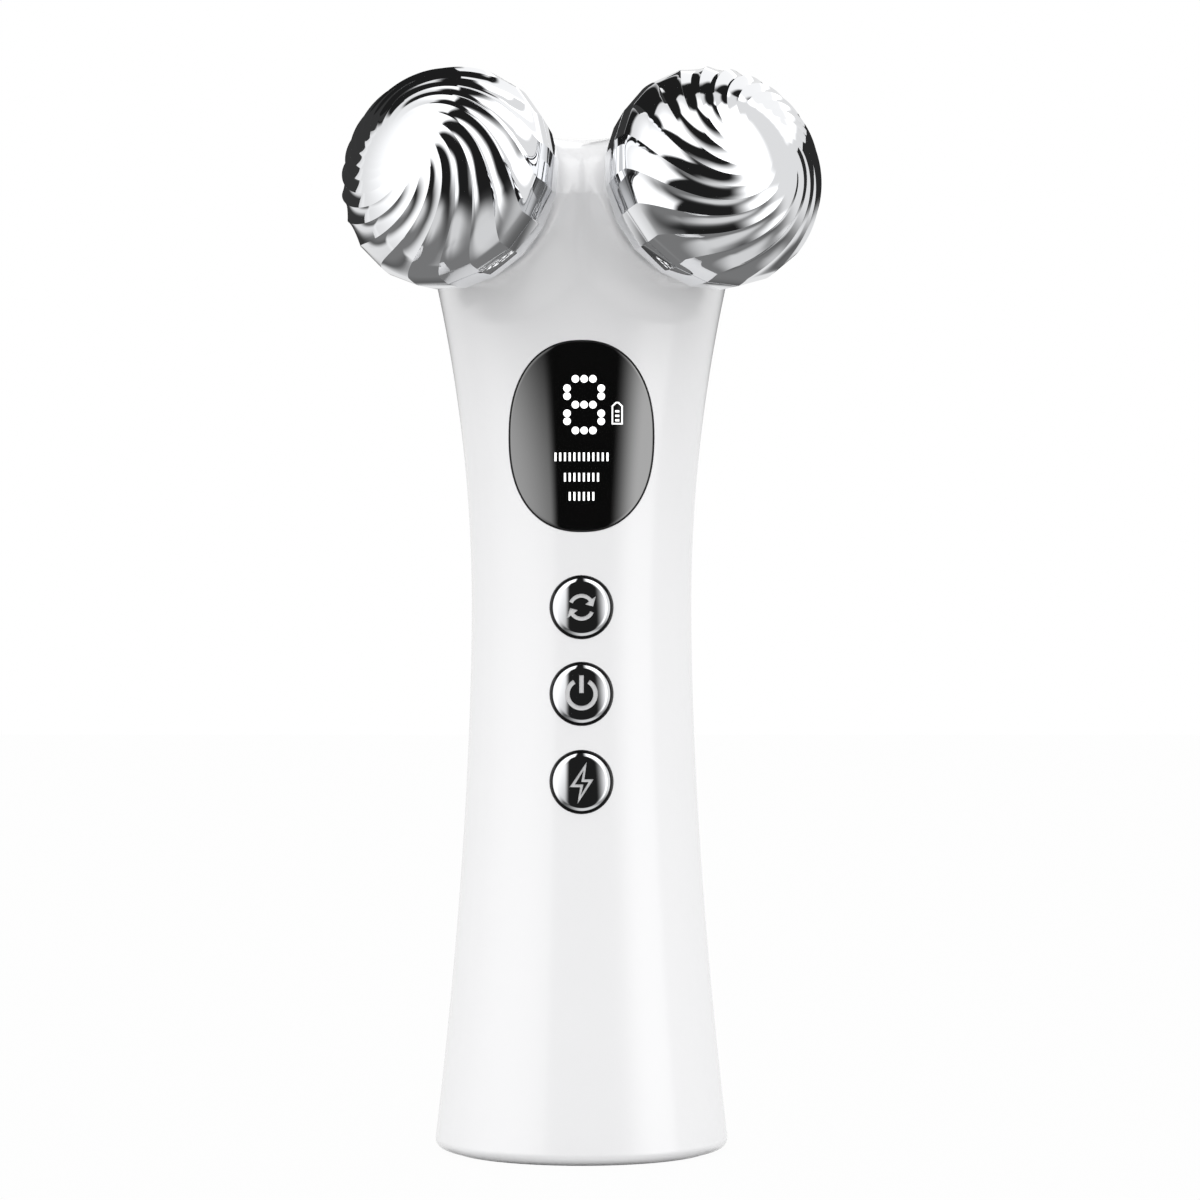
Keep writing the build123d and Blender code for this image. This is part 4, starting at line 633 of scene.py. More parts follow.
def empty_geometry(name, sizes):
    """A new Geometry Nodes tree with named inputs of some kinds, and the sockets that they come out of."""
    tree = bpy.data.node_groups.new(name, "GeometryNodeTree")
    tree.interface.new_socket("Geometry", in_out="INPUT", socket_type="NodeSocketGeometry")
    tree.interface.new_socket("Geometry", in_out="OUTPUT", socket_type="NodeSocketGeometry")
    for label, kind in sizes.items():
        tree.interface.new_socket(label, in_out="INPUT", socket_type=f"NodeSocket{kind}")
    return tree, node(tree, "NodeGroupInput").outputs


def grown(name, tree, values):
    """The mesh that a Geometry Nodes tree makes from named input values."""
    obj = bpy.data.objects.new(name, bpy.data.meshes.new(name))
    bpy.context.scene.collection.objects.link(obj)
    modifier = obj.modifiers.new("grow", "NODES")
    modifier.node_group = tree
    for item in tree.interface.items_tree:
        if item.item_type == "SOCKET" and item.in_out == "INPUT" and item.name in values:
            modifier[item.identifier] = values[item.name]
    evaluated = obj.evaluated_get(bpy.context.evaluated_depsgraph_get())
    mesh = bpy.data.meshes.new_from_object(evaluated)
    bpy.data.objects.remove(obj)
    if not mesh.polygons:
        raise RuntimeError(f"{name} came out empty")
    mesh.name = name
    return mesh


# ---------------------------------------------------------------- finishes
BLOTCH = 9.0 * MM  # size of the slow changes of colour on every surface
FINISHES = {
    # name: colour, roughness, grain and its depth in mm, how much darker the blotches are, and what else differs
    # high-gloss injection-moulded ABS: clear highlights, the faint waviness of a polished mould
    "gloss_moulded_abs": ("#F1F1F2", 0.16, 6.0, 0.004, 0.015, {"coat": 0.5, "ior": 1.53}),
    # ABS from an etched mould: a fine, even texture and wide, soft highlights
    "satin_moulded_abs": ("#ECECED", 0.42, 0.8, 0.006, 0.02, {"ior": 1.53}),
    # electroplated chrome over ABS: mirror-bright, with barely any waviness
    "plated_chrome": ("#E9EAEC", 0.035, 4.0, 0.0012, 0.02, {"metal": 1.0}),
    # smoked acrylic with a half-mirror film, printed black on the back: strong reflections over plain black
    "smoked_acrylic": ("#020202", 0.035, 12.0, 0.001, 0.2, {"coat": 1.0, "ior": 1.85, "gloss": 1.0}),
    # paint wiped into an engraving: pale and matt beside the mirror round it
    "filled_engraving": ("#D2D2D3", 0.42, 0.25, 0.01, 0.05, {}),
    # black ABS from a polished mould: deep black with a thin bright edge
    "black_moulded_abs": ("#0B0B0C", 0.22, 0.5, 0.003, 0.15, {"ior": 1.53}),
    # closed-cell foam tape: black without a highlight; on the window's rounded rim it is painted shade that widens
    # the dark line of the gap round the window
    "black_tape_and_rim_shade": ("#151515", 0.85, 0.2, 0.03, 0.2, {}),
    # white moulded plastic with a matt skin: even and warm
    "white_light_mask": ("#E3E2DF", 0.6, 0.5, 0.01, 0.04, {}),
    # solder mask over woven glass: green, half glossy, with the weave just to be felt
    "fibreglass_board": ("#1C5A33", 0.38, 0.45, 0.01, 0.12, {"coat": 0.2}),
    # transfer-moulded epoxy: black, dull and gritty
    "epoxy_chip": ("#1B1B1C", 0.62, 0.12, 0.01, 0.1, {}),
    # milky silicone over a diode: warm white with a soft shine
    "diffuser_led": ("#F4F1E2", 0.3, 0.3, 0.004, 0.03, {}),
    # moulded nylon: charcoal, half matt
    "switch_case": ("#262628", 0.45, 0.2, 0.006, 0.1, {}),
    # polyimide film over copper: amber and smooth
    "polyimide_flex": ("#B4691E", 0.3, 0.6, 0.006, 0.15, {"coat": 0.2}),
    # heat-shrunk film: blue, tight, with shallow ripples
    "shrink_sleeve": ("#2B62A3", 0.33, 1.5, 0.02, 0.08, {}),
    # moulded nylon with glass fibres that come near the skin: dark grey, highlights broken up
    "glass_filled_nylon": ("#38383A", 0.5, 0.35, 0.015, 0.12, {}),
    # extruded PVC: red with a waxy shine
    "pvc_wire": ("#A81D18", 0.4, 0.8, 0.006, 0.08, {}),
    # moulded silicone rubber: nearly black and matt
    "silicone_rubber": ("#232323", 0.75, 0.3, 0.015, 0.12, {}),
    # unfilled silicone rubber: pale and cloudy
    "clear_silicone": ("#C4C5C6", 0.55, 0.4, 0.01, 0.06, {}),
    # zinc over cold-headed steel: bright grey, a little cloudy
    "zinc_plated_steel": ("#B9BBBE", 0.3, 0.3, 0.005, 0.1, {"metal": 1.0}),
    # turned and ground steel: fine tool marks, nearly a mirror
    "turned_steel": ("#C3C4C6", 0.2, 0.15, 0.004, 0.08, {"metal": 1.0}),
    # stamped and hardened steel: darker, with rolling marks
    "spring_steel": ("#8D8E90", 0.33, 0.2, 0.006, 0.12, {"metal": 1.0}),
    # pressed and sintered tungsten: dull grey grain
    "sintered_tungsten": ("#7C7D7F", 0.5, 0.15, 0.012, 0.12, {"metal": 1.0}),
    # deep-drawn plated steel: bright, with slow waves from the die
    "drawn_steel_can": ("#B4B6B9", 0.28, 0.9, 0.006, 0.08, {"metal": 1.0}),
    # rolled and stamped brass: satin yellow
    "rolled_brass": ("#D8B263", 0.28, 0.5, 0.005, 0.12, {"metal": 1.0}),
    # pressed bronze powder that holds oil: brown and porous
    "sintered_bronze": ("#B98D4F", 0.45, 0.12, 0.015, 0.15, {"metal": 1.0}),
    # turned acetal: milk white with a waxy shine
    "acetal_washer": ("#E4E3DE", 0.4, 0.5, 0.005, 0.04, {}),
}

SLOT_FINISH = {
    "white_shell": "gloss_moulded_abs",
    "white_cap": "satin_moulded_abs",
    "seal_rubber": "silicone_rubber",
    "screw_steel": "zinc_plated_steel",
    "black_lens": "smoked_acrylic",
    "black_tape": "black_tape_and_rim_shade",
    "mask_plastic": "white_light_mask",
    "board_green": "fibreglass_board",
    "led_white": "diffuser_led",
    "black_bezel": "black_moulded_abs",
    "chip_black": "epoxy_chip",
    "switch_metal": "switch_case",
    "flex_amber": "polyimide_flex",
    "battery_wrap": "shrink_sleeve",
    "holder_plastic": "glass_filled_nylon",
    "wire_sleeve": "pvc_wire",
    "motor_steel": "drawn_steel_can",
    "weight_metal": "sintered_tungsten",
    "axle_steel": "turned_steel",
    "clip_steel": "spring_steel",
    "terminal_brass": "rolled_brass",
    "nut_steel": "zinc_plated_steel",
    "washer_plastic": "acetal_washer",
    "port_steel": "drawn_steel_can",
    "roller_chrome": "plated_chrome",
    "hub_plastic": "glass_filled_nylon",
    "bush_brass": "sintered_bronze",
    "button_chrome": "plated_chrome",
    "plunger_rubber": "clear_silicone",
}


def finish(name):
    """A finish that has been made."""
    return bpy.data.materials[name]


def surface(name, colour, roughness, grain_mm, depth_mm, shift, coat=0.0, metal=0.0, ior=1.5, gloss=0.5):
    """A surface with its own grain: colour, roughness and bump all vary a little, at sizes in millimetres."""
    tree = empty_material(name)[1]
    place = node(tree, "ShaderNodeTexCoord").outputs["Object"]
    blotch = node(tree, "ShaderNodeTexNoise", {"Vector": place, "Scale": 1 / BLOTCH, "Detail": 3.0})
    grain = node(tree, "ShaderNodeTexNoise", {"Vector": place, "Scale": 1 / (grain_mm * MM), "Detail": 4.0})
    colours = {"A": (*colour, 1.0), "B": (*(c * (1 - shift) for c in colour), 1.0)}
    tint = node(tree, "ShaderNodeMix", {"Factor": blotch.outputs["Fac"], **colours}, data_type="RGBA")
    polish = node(
        tree,
        "ShaderNodeMapRange",
        {"Value": grain.outputs["Fac"], "To Min": roughness * 0.85, "To Max": roughness * 1.15},
    )
    bump = node(tree, "ShaderNodeBump", {"Height": grain.outputs["Fac"], "Strength": 1.0, "Distance": depth_mm * MM})
    shader = node(
        tree,
        "ShaderNodeBsdfPrincipled",
        {
            "Base Color": tint.outputs["Result"],
            "Roughness": polish.outputs["Result"],
            "Normal": bump.outputs["Normal"],
            "Metallic": metal,
            "IOR": ior,
            "Specular IOR Level": gloss,
            "Coat Weight": coat,
            "Coat Roughness": 0.03,
        },
    )
    node(tree, "ShaderNodeOutputMaterial", {"Surface": shader.outputs["BSDF"]})


def lit_print(name, colour, strength=0.85, speck_mm=0.8):
    """Light through a printed window: an even glow behind a smooth face."""
    tree = empty_material(name)[1]
    place = node(tree, "ShaderNodeTexCoord").outputs["Object"]
    speck = node(tree, "ShaderNodeTexNoise", {"Vector": place, "Scale": 1 / (speck_mm * MM), "Detail": 2.0})
    polish = node(tree, "ShaderNodeMapRange", {"Value": speck.outputs["Fac"], "To Min": 0.25, "To Max": 0.35})
    glow = {"Base Color": (*colour, 1.0), "Emission Color": (*colour, 1.0), "Emission Strength": strength}
    shader = node(tree, "ShaderNodeBsdfPrincipled", {**glow, "Roughness": polish.outputs["Result"]})
    node(tree, "ShaderNodeOutputMaterial", {"Surface": shader.outputs["BSDF"]})


# ---------------------------------------------------------------- operators
class TONING_OT_finishes(bpy.types.Operator):
    """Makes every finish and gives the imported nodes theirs"""

    bl_idname = "toning.finishes"
    bl_label = "Finishes"

    def execute(self, context):
        chosen = {"gloss_moulded_abs": context.scene.toning_body.colour}
        for name, (code, *sizes, others) in FINISHES.items():
            surface(name, chosen.get(name, linear(code)[:3]), *sizes, **others)
        lit_print("lit_window_print", context.scene.toning_display.light)
        for part in frame["record"]["subparts"]:
            mesh = frame["nodes"][part["node"]].data
            mesh.materials.clear()
            mesh.materials.append(finish(SLOT_FINISH[part["material_slot"]]))
        return {"FINISHED"}


class TONING_OT_shells(bpy.types.Operator):
    """Builds the front and rear shells as smooth skins with a wall, a seam and their openings"""

    bl_idname = "toning.shells"
    bl_label = "Shells"

    def execute(self, context):
        front = shell_mesh("front_shell_skin", -1)
        front = cut(front, window_solid("pocket", -LENS_GAP, None, POCKET_BACK))
        window = prism("window", display_outline(LENS_LEDGE), front_place(DISPLAY_HEIGHT), CLEAR_OF_BODY)
        front = cut(front, window)
        reach = context.scene.toning_button.radius + BEZEL_GAP + BEZEL_WALL + HOLE_GAP
        for height in BUTTONS.values():
            hole = [(0.0, 0.0), (reach, 0.0), (reach, -CLEAR_OF_BODY), (0.0, -CLEAR_OF_BODY)]
            front = cut(front, lathe("hole", hole, front_place(height)))
        rear = shell_mesh("rear_shell_skin", 1)
        for mesh, skin in ((front, "front_shell"), (rear, "rear_shell")):
            mesh.materials.clear()
            mesh.materials.append(finish("gloss_moulded_abs"))
            smooth_by_form(mesh)
            new_object(f"{skin}_skin", mesh, "handle", "white_shell", skin)
        return {"FINISHED"}


RIDGE_RULE = (
    # a point's share of the way across its ridge, and its row, counted from the pole over the rim and back inside
    ("across", "ADD", "x", 0.5),
    ("along", "ADD", "y", 0.5),
    ("share", "MULTIPLY", "along", LAST_ROW),
    ("row", "ROUND", "share"),
    ("inside", "GREATER_THAN", "row", RIM + 0.5),
    # its angle from the pole: a degree for each row outside, and INNER_STEP degrees back for each row inside
    ("outer", "MINIMUM", "row", float(RIM)),
    ("back", "SUBTRACT", "row", RIM + 1.0),
    ("inner", "MULTIPLY_ADD", "back", -INNER_STEP, float(RIM)),
    ("change", "SUBTRACT", "inner", "outer"),
    ("degrees", "MULTIPLY_ADD", "change", "inside", "outer"),
    ("polar", "RADIANS", "degrees"),
    ("sine", "SINE", "polar"),
    ("cosine", "COSINE", "polar"),
    # the ridges wind between the pole and the facets, most near the pole
    ("ridged", "MINIMUM", "outer", RIDGES_END),
    ("run", "DIVIDE", "ridged", float(RIM)),
    ("left", "SUBTRACT", 1.0, "run"),
    ("curl", "MULTIPLY", "left", "left"),
    ("wound", "SUBTRACT", "curl", (1 - RIDGES_END / RIM) ** 2),
    ("turn", "MULTIPLY", "twist", "wound"),
    # each facet is a chord, which the pole rounds off
    ("half", "DIVIDE", math.pi, "ridges"),
    ("doubled", "MULTIPLY", "across", 2.0),
    ("mid", "SUBTRACT", "doubled", 1.0),
    ("past", "SUBTRACT", "outer", SCOOP_START),
    ("growth", "DIVIDE", "past", SCOOP_GROWTH),
    ("growing", "MAXIMUM", "growth", 0.0),
    ("grown", "MINIMUM", "growing", 1.0),
    ("depth", "SMOOTH_MIN", "grown", 1.0, 0.2),
    ("from_middle", "MULTIPLY", "half", "mid"),
    ("slant", "COSINE", "from_middle"),
    ("flat", "COSINE", "half"),
    ("chord", "DIVIDE", "flat", "slant"),
    ("short", "SUBTRACT", "chord", 1.0),
    ("facet", "MULTIPLY_ADD", "short", "depth", 1.0),
    # a scoop hollows it, and fades out at the pole and where the flat facets start
    ("to_facets", "SUBTRACT", RIDGES_END, "outer"),
    ("fading", "DIVIDE", "to_facets", SCOOP_FADE),
    ("kept", "MAXIMUM", "fading", 0.0),
    ("full", "MINIMUM", "kept", 1.0),
    ("fade", "MULTIPLY", "full", "depth"),
    ("squared", "MULTIPLY", "mid", "mid"),
    ("hollow", "SUBTRACT", 1.0, "squared"),
    ("scooped", "MULTIPLY", "scoop", "fade"),
    ("arched", "MULTIPLY", "hollow", "sine"),
    ("dip", "MULTIPLY", "scooped", "arched"),
    ("girth", "MULTIPLY", "radius", "sine"),
    ("faceted", "MULTIPLY", "girth", "facet"),
    ("crest", "SUBTRACT", "faceted", "dip"),
    # the wall's inner side is round and plain
    ("inner_radius", "SUBTRACT", "radius", "wall"),
    ("bore", "MULTIPLY", "inner_radius", "sine"),
    ("thinning", "SUBTRACT", "bore", "crest"),
    ("reach", "MULTIPLY_ADD", "thinning", "inside", "crest"),
    ("length", "MULTIPLY", "radius", "squash"),
    ("thickness", "MULTIPLY", "wall", "inside"),
    ("tall", "SUBTRACT", "length", "thickness"),
    ("height", "MULTIPLY", "tall", "cosine"),
    # where the point stands
    ("pitch", "MULTIPLY", "half", 2.0),
    ("sideways", "MULTIPLY", "pitch", "across"),
    ("angle", "ADD", "turn", "sideways"),
    ("cos_angle", "COSINE", "angle"),
    ("sin_angle", "SINE", "angle"),
    ("out_x", "MULTIPLY", "reach", "cos_angle"),
    ("out_y", "MULTIPLY", "reach", "sin_angle"),
)


def ridge_tree():
    """Geometry Nodes: one scooped ridge from the pole to the facets and back inside, copied round the axis."""
    sizes = {"Radius": "Float", "Squash": "Float", "Ridges": "Int", "Twist": "Float", "Scoop": "Float"}
    tree, given = empty_geometry("ridged_roller", {**sizes, "Wall": "Float", "Finish": "Material"})
    strip = {"Size X": 1.0, "Size Y": 1.0, "Vertices X": RIDGE_COLUMNS, "Vertices Y": int(LAST_ROW) + 1}
    strip = node(tree, "GeometryNodeMeshGrid", strip)
    place = node(tree, "ShaderNodeSeparateXYZ", {0: node(tree, "GeometryNodeInputPosition").outputs[0]}).outputs
    known = {"x": place[0], "y": place[1], "wall": given["Wall"]}
    known.update({name.lower(): given[name] for name in sizes})
    work_out(tree, known, RIDGE_RULE)
    where = node(tree, "ShaderNodeCombineXYZ", {0: known["out_x"], 1: known["out_y"], 2: known["height"]})
    ridge = node(tree, "GeometryNodeSetPosition", {"Geometry": strip.outputs["Mesh"], "Position": where.outputs[0]})
    copies = node(tree, "GeometryNodePoints", {"Count": given["Ridges"]})
    known["number"] = node(tree, "GeometryNodeInputIndex").outputs[0]
    work_out(tree, known, (("spin", "MULTIPLY", "pitch", "number"),))
    spin = node(tree, "ShaderNodeCombineXYZ", {2: known["spin"]})
    ring = node(
        tree,
        "GeometryNodeInstanceOnPoints",
        {"Points": copies.outputs[0], "Instance": ridge.outputs[0], "Rotation": spin.outputs[0]},
    )
    solid = node(tree, "GeometryNodeRealizeInstances", {0: ring.outputs[0]})
    closed = node(tree, "GeometryNodeMergeByDistance", {"Geometry": solid.outputs[0], "Distance": 0.004 * MM})
    dressed = node(tree, "GeometryNodeSetMaterial", {"Geometry": closed.outputs[0], "Material": given["Finish"]})
    node(tree, "NodeGroupOutput", {0: dressed.outputs[0]})
    return tree


class TONING_OT_rollers(bpy.types.Operator):
    """Builds both rollers: the wound ridges in front and the flat facets behind"""

    bl_idname = "toning.rollers"
    bl_label = "Rollers"

    def execute(self, context):
        roller = context.scene.toning_roller
        tree = ridge_tree()
        values = {key.capitalize(): getattr(roller, key) for key in RollerSettings.__annotations__}
        values["Finish"] = finish("plated_chrome")
        for place, side in SIDES.items():
            rest = axle_matrix(side, REST_ANGLE[place])
            ridged = grown(f"roller_ridges_{place}", tree, values)
            outward(ridged)
            ridged.transform(rest)
            shade(ridged, 11)
            body = f"{place}_roller"
            new_object(f"roller_ridges_{place}", ridged, body, "roller_chrome", f"roller_front_shell_{place}")
            facets = self.facets(roller, place, rest)
            new_object(f"roller_facets_{place}", facets, body, "roller_chrome", f"roller_rear_shell_{place}")
        return {"FINISHED"}

    def facets(self, roller, place, rest):
        """The rear half of a roller: a ring of flat facets in two rows, with a wall and a bore."""

        def ring(angle):
            """Radius and height of the form at an angle from the pole in degrees."""
            turn = math.radians(angle)
            return roller.radius * math.sin(turn), roller.radius * roller.squash * math.cos(turn)

        (seam_r, seam_h), (mid_r, mid_h), (rear_r, rear_h) = ring(RIM), ring(FACET_MIDDLE), ring(FACET_REAR)
        profile = [
            (seam_r, seam_h - FACET_GAP),
            (mid_r, mid_h),
            (rear_r, rear_h),
            (FACET_BORE, rear_h),
            (FACET_BORE, rear_h + REAR_WALL),
            (rear_r - REAR_STEP, rear_h + REAR_WALL),
            (mid_r - FACET_WALL, mid_h),
            (seam_r - FACET_WALL, seam_h - FACET_GAP),
        ]
        mesh = lathe(f"roller_facets_{place}", profile, rest, segments=roller.ridges, close=True)
        with editing(mesh) as work:
            bmesh.ops.bevel(work, geom=work.edges, offset=FACET_BEVEL, segments=2, profile=0.5, affect="EDGES")
        mesh.materials.append(finish("plated_chrome"))
        shade(mesh, 30)
        return mesh


def lay_on_front(mesh, lift):
    """Moves a flat mesh onto the display window, its own Y being how deep it is."""
    points = coordinates(mesh)
    window = front_point(points[:, 0], points[:, 2], -LENS_PROUD)
    points[:, 1] += window[:, 1] - lift
    move_vertices(mesh, points)


def mark_tree():
    """Geometry Nodes: the dots of the digit in rows and columns, and the level bars in three rows."""
    sizes = {"Dot Radius": "Float", "Dot Pitch": "Float", "Digit Centre": "Vector", "Thickness": "Float"}
    tree, given = empty_geometry("window_marks", {**sizes, "Finish": "Material"})
    dot = {"Vertices": 24, "Radius": given["Dot Radius"], "Depth": given["Thickness"]}
    dot = node(tree, "GeometryNodeMeshCylinder", dot).outputs["Mesh"]
    known = {"pitch": given["Dot Pitch"]}
    work_out(tree, known, (("width", "MULTIPLY", "pitch", 2.0),))
    # three rows of three dots, and two pairs of dots up the sides
    grids = [({"Size X": known["width"], "Size Y": 2 * DIGIT_HALF_HEIGHT, "Vertices X": 3, "Vertices Y": 3}, 0.0)]
    pairs = {"Size X": 2 * DIGIT_HALF_WIDTH, "Size Y": SIDE_PAIR, "Vertices X": 2, "Vertices Y": 2}
    grids += [(pairs, -SIDE_PAIR_HEIGHT), (pairs, SIDE_PAIR_HEIGHT)]
    marks = node(tree, "GeometryNodeJoinGeometry")
    upright = {"Translation": given["Digit Centre"], "Rotation": (math.radians(90), 0.0, 0.0)}
    for spread, lift in grids:
        grid = node(tree, "GeometryNodeMeshGrid", spread).outputs["Mesh"]
        moved = node(tree, "GeometryNodeTransform", {"Geometry": grid, "Translation": (0.0, lift, 0.0)}).outputs[0]
        dots = node(tree, "GeometryNodeInstanceOnPoints", {"Points": moved, "Instance": dot}).outputs[0]
        stood = node(tree, "GeometryNodeTransform", {"Geometry": dots, **upright})
        tree.links.new(stood.outputs[0], marks.inputs[0])
    bar = node(tree, "GeometryNodeMeshCube", {"Size": LEVEL_BAR}).outputs["Mesh"]
    for count, below in LEVEL_ROWS:
        start = (-LEVEL_STEP * (count - 1) / 2, 0.0, DISPLAY_HEIGHT - below)
        line = {"Count": count, "Start Location": start, "Offset": (LEVEL_STEP, 0.0, 0.0)}
        line = node(tree, "GeometryNodeMeshLine", line).outputs["Mesh"]
        bars = node(tree, "GeometryNodeInstanceOnPoints", {"Points": line, "Instance": bar}).outputs[0]
        tree.links.new(bars, marks.inputs[0])
    solid = node(tree, "GeometryNodeRealizeInstances", {0: marks.outputs[0]})
    dressed = node(tree, "GeometryNodeSetMaterial", {"Geometry": solid.outputs[0], "Material": given["Finish"]})
    node(tree, "NodeGroupOutput", {0: dressed.outputs[0]})
    return tree


class TONING_OT_display(bpy.types.Operator):
    """Builds the display window and the marks that light up behind it"""

    bl_idname = "toning.display"
    bl_label = "Display"

    def execute(self, context):
        display = context.scene.toning_display
        lens = window_solid("display_window", 0.0, -LENS_PROUD, LENS_BACK, rings=24, edge=LENS_EDGE)
        lens.materials.append(finish("smoked_acrylic"))
        lens.materials.append(finish("black_tape_and_rim_shade"))
        # the rim takes the second finish, matt black: a painted shade that widens the dark line of the gap round the
        # window
        width, height = display.half_width - RIM_SHADE_WIDTH, display.half_height - RIM_SHADE_WIDTH
        for polygon in lens.polygons:
            across, up = abs(polygon.center.x) / width, abs(polygon.center.z - DISPLAY_HEIGHT) / height
            polygon.material_index = int(across**SQUARENESS + up**SQUARENESS > 1)
        shade(lens, 40)
        new_object("display_window", lens, "handle", "black_lens", "display_lens")
        values = {
            "Dot Radius": display.dot_radius,
            "Dot Pitch": display.dot_pitch,
            "Digit Centre": (DIGIT_PLACE[0], 0.0, DISPLAY_HEIGHT + DIGIT_PLACE[1]),
            "Thickness": MARK_THICKNESS,
            "Finish": finish("lit_window_print"),
        }
        marks = grown("window_marks", mark_tree(), values)
        lay_on_front(marks, MARK_LIFT)
        shade(marks, 30)
        new_object("window_marks", marks, "handle", "led_white")
        new_object("battery_mark", self.battery_mark(), "handle", "led_white")
        return {"FINISHED"}

    def battery_mark(self):
        """A cell standing up: an outline with a pointed top and three bars of charge."""
        x, z, half, low, high = 5.45 * MM, 3.6 * MM, 0.85 * MM, -1.75 * MM, 1.05 * MM
        tip, top, line = 0.22 * MM, 1.65 * MM, 0.21 * MM
        bar_width, bar_height, bars = 0.3 * MM, 0.16 * MM, (-1.13 * MM, -0.45 * MM, 0.23 * MM)
        outline = [(-half, low), (half, low), (half, high), (tip, top), (-tip, top), (-half, high)]
        outline = [(x + px, z + pz) for px, pz in outline]
        place = front_place(DISPLAY_HEIGHT, MARK_THICKNESS / 2)
        pieces = [ring_prism("cell", outline, frame_outline(outline, line), place, MARK_THICKNESS)]
        for rise in bars:
            corners = ((-1, -1), (1, -1), (1, 1), (-1, 1))
            bar = [(x + bar_width * across, z + rise + bar_height * up) for across, up in corners]
            pieces.append(prism("bar", bar, place, MARK_THICKNESS))
        mesh = joined("battery_mark", pieces)
        lay_on_front(mesh, MARK_THICKNESS + 2 * MARK_LIFT)
        mesh.materials.append(finish("lit_window_print"))
        shade(mesh, 30)
        return mesh


class TONING_OT_buttons(bpy.types.Operator):
    """Builds the button caps with their engraved symbols, and the rings round them"""

    bl_idname = "toning.buttons"
    bl_label = "Buttons"

    def execute(self, context):
        symbols = {"mode": self.arrows(), "power": self.open_ring(), "level": self.bolt()}
        for name, height in BUTTONS.items():
            cap = self.cap(name, height)
            for outline in symbols[name]:
                cap = cut(cap, self.cutter(outline, height), finish("filled_engraving"))
            shade(cap, 20)
            new_object(f"{name}_button_face", cap, f"{name}_button", "button_chrome", f"{name}_button_cap")
        inner = context.scene.toning_button.radius + BEZEL_GAP
        outer = inner + BEZEL_WALL
        loops = [
            (inner, BEZEL_EDGE - BEZEL_PROUD, None),
            (inner + BEZEL_EDGE, -BEZEL_PROUD, None),
            (outer - BEZEL_EDGE, -BEZEL_PROUD, None),
            (outer, BEZEL_EDGE - BEZEL_PROUD, None),
            (outer, None, BUTTON_DEPTH),
            (inner, None, BUTTON_DEPTH),
        ]
        mesh = joined("button_rings", [front_stack("ring", height, loops, close=True) for height in BUTTONS.values()])
        mesh.materials.append(finish("black_moulded_abs"))
        shade(mesh, 50)
        new_object("button_rings", mesh, "handle", "black_bezel", "button_bezels")
        return {"FINISHED"}

    def cap(self, name, height):
        """A cap whose mirror face follows the body, with a bright chamfer round it and a flange behind."""
        button = bpy.context.scene.toning_button
        flat, foot = button.radius - button.chamfer, BUTTON_DEPTH + FLANGE_GAP
        rim, wide = button.fall - BUTTON_PROUD, button.radius + FLANGE_WIDTH
        face = [flat * k / 14 for k in range(14)] + [flat - CAP_EDGE]
        loops = [(radius, -BUTTON_PROUD - button.dome * (1 - (radius / flat) ** 2), None) for radius in face]
        loops += [(flat + 0.02 * MM, 0.01 * MM - BUTTON_PROUD, None)]
        loops += [(button.radius - CAP_EDGE, rim, None), (button.radius, rim + 2 * CAP_EDGE, None)]
        loops += [(button.radius, None, foot), (wide, None, foot)]
        loops += [(wide, None, foot + FLANGE_THICKNESS), (0.0, None, foot + FLANGE_THICKNESS)]
        mesh = front_stack(f"{name}_button_face", height, loops)
        points = coordinates(mesh)
        at_front = np.hypot(points[:, 0], points[:, 2] - height) < button.radius + BEZEL_GAP
        at_front &= points[:, 1] < front_depth(height) + BUTTON_DEPTH
        points[at_front, 1] += self.crown(points[at_front, 0])
        move_vertices(mesh, points)
        mesh.materials.append(finish("plated_chrome"))
        return mesh

    def crown(self, x):
        """How far the face of a cap lies behind the body's own curve, at a place across it."""
        button = bpy.context.scene.toning_button
        return button.crown * ((x / button.radius) ** 2 - CROWN_RISE)

    def cutter(self, outline, height):
        """A tool in the shape of a symbol, whose end is as deep as the engraving all over."""
        button = bpy.context.scene.toning_button
        before, length = 2 * MM, 1 * MM
        place = front_place(height, front_depth(height) - before)
        if isinstance(outline, tuple):
            mesh = ring_prism("symbol", *outline, place, length)
        else:
            mesh = prism("symbol", outline, place, length)
        points = coordinates(mesh)
        deep = points[:, 1] > place.translation.y + length / 2
        floor = front_point(points[:, 0], points[:, 2], button.engraving - BUTTON_PROUD)
        points[:, 1] = np.where(deep, floor[:, 1] + self.crown(points[:, 0]), points[:, 1])
        move_vertices(mesh, points)
        return mesh

    def arrows(self):
        """Two arrows that chase each other round."""
        radius, width, head, start, end, nose = 1.75 * MM, 0.58 * MM, 1.05 * MM, 38, 156, 4

        def spot(reach, degrees):
            """A point on a circle about the middle of the cap."""
            return reach * math.cos(math.radians(degrees)), reach * math.sin(math.radians(degrees))

        outlines = []
        for turn in (0, 180):
            base = turn + start
            point = [spot(radius - head, base), spot(radius, turn + nose), spot(radius + head, base)]
            outlines.append(point + arc_band(radius, width, base, turn + end, 24))
        return outlines

    def open_ring(self):
        """A ring open at the top, and a bar in the opening."""
        half, low, high, opening = 0.34 * MM, 0.15 * MM, 2.85 * MM, 30
        ring = arc_band(2.15 * MM, 2 * half, 90 + opening, 450 - opening, 60)
        return [ring, [(-half, low), (half, low), (half, high), (-half, high)]]

    def bolt(self):
        """The outline of a bolt, and the same outline moved in."""
        corners = [(-0.62, -3.3), (1.85, 0.45), (0.45, 0.45), (0.8, 3.1), (-1.8, -0.75), (-0.2, -0.75)]
        corners = [(x * MM, y * MM) for x, y in corners]
        return [(corners, frame_outline(corners, 0.42 * MM))]


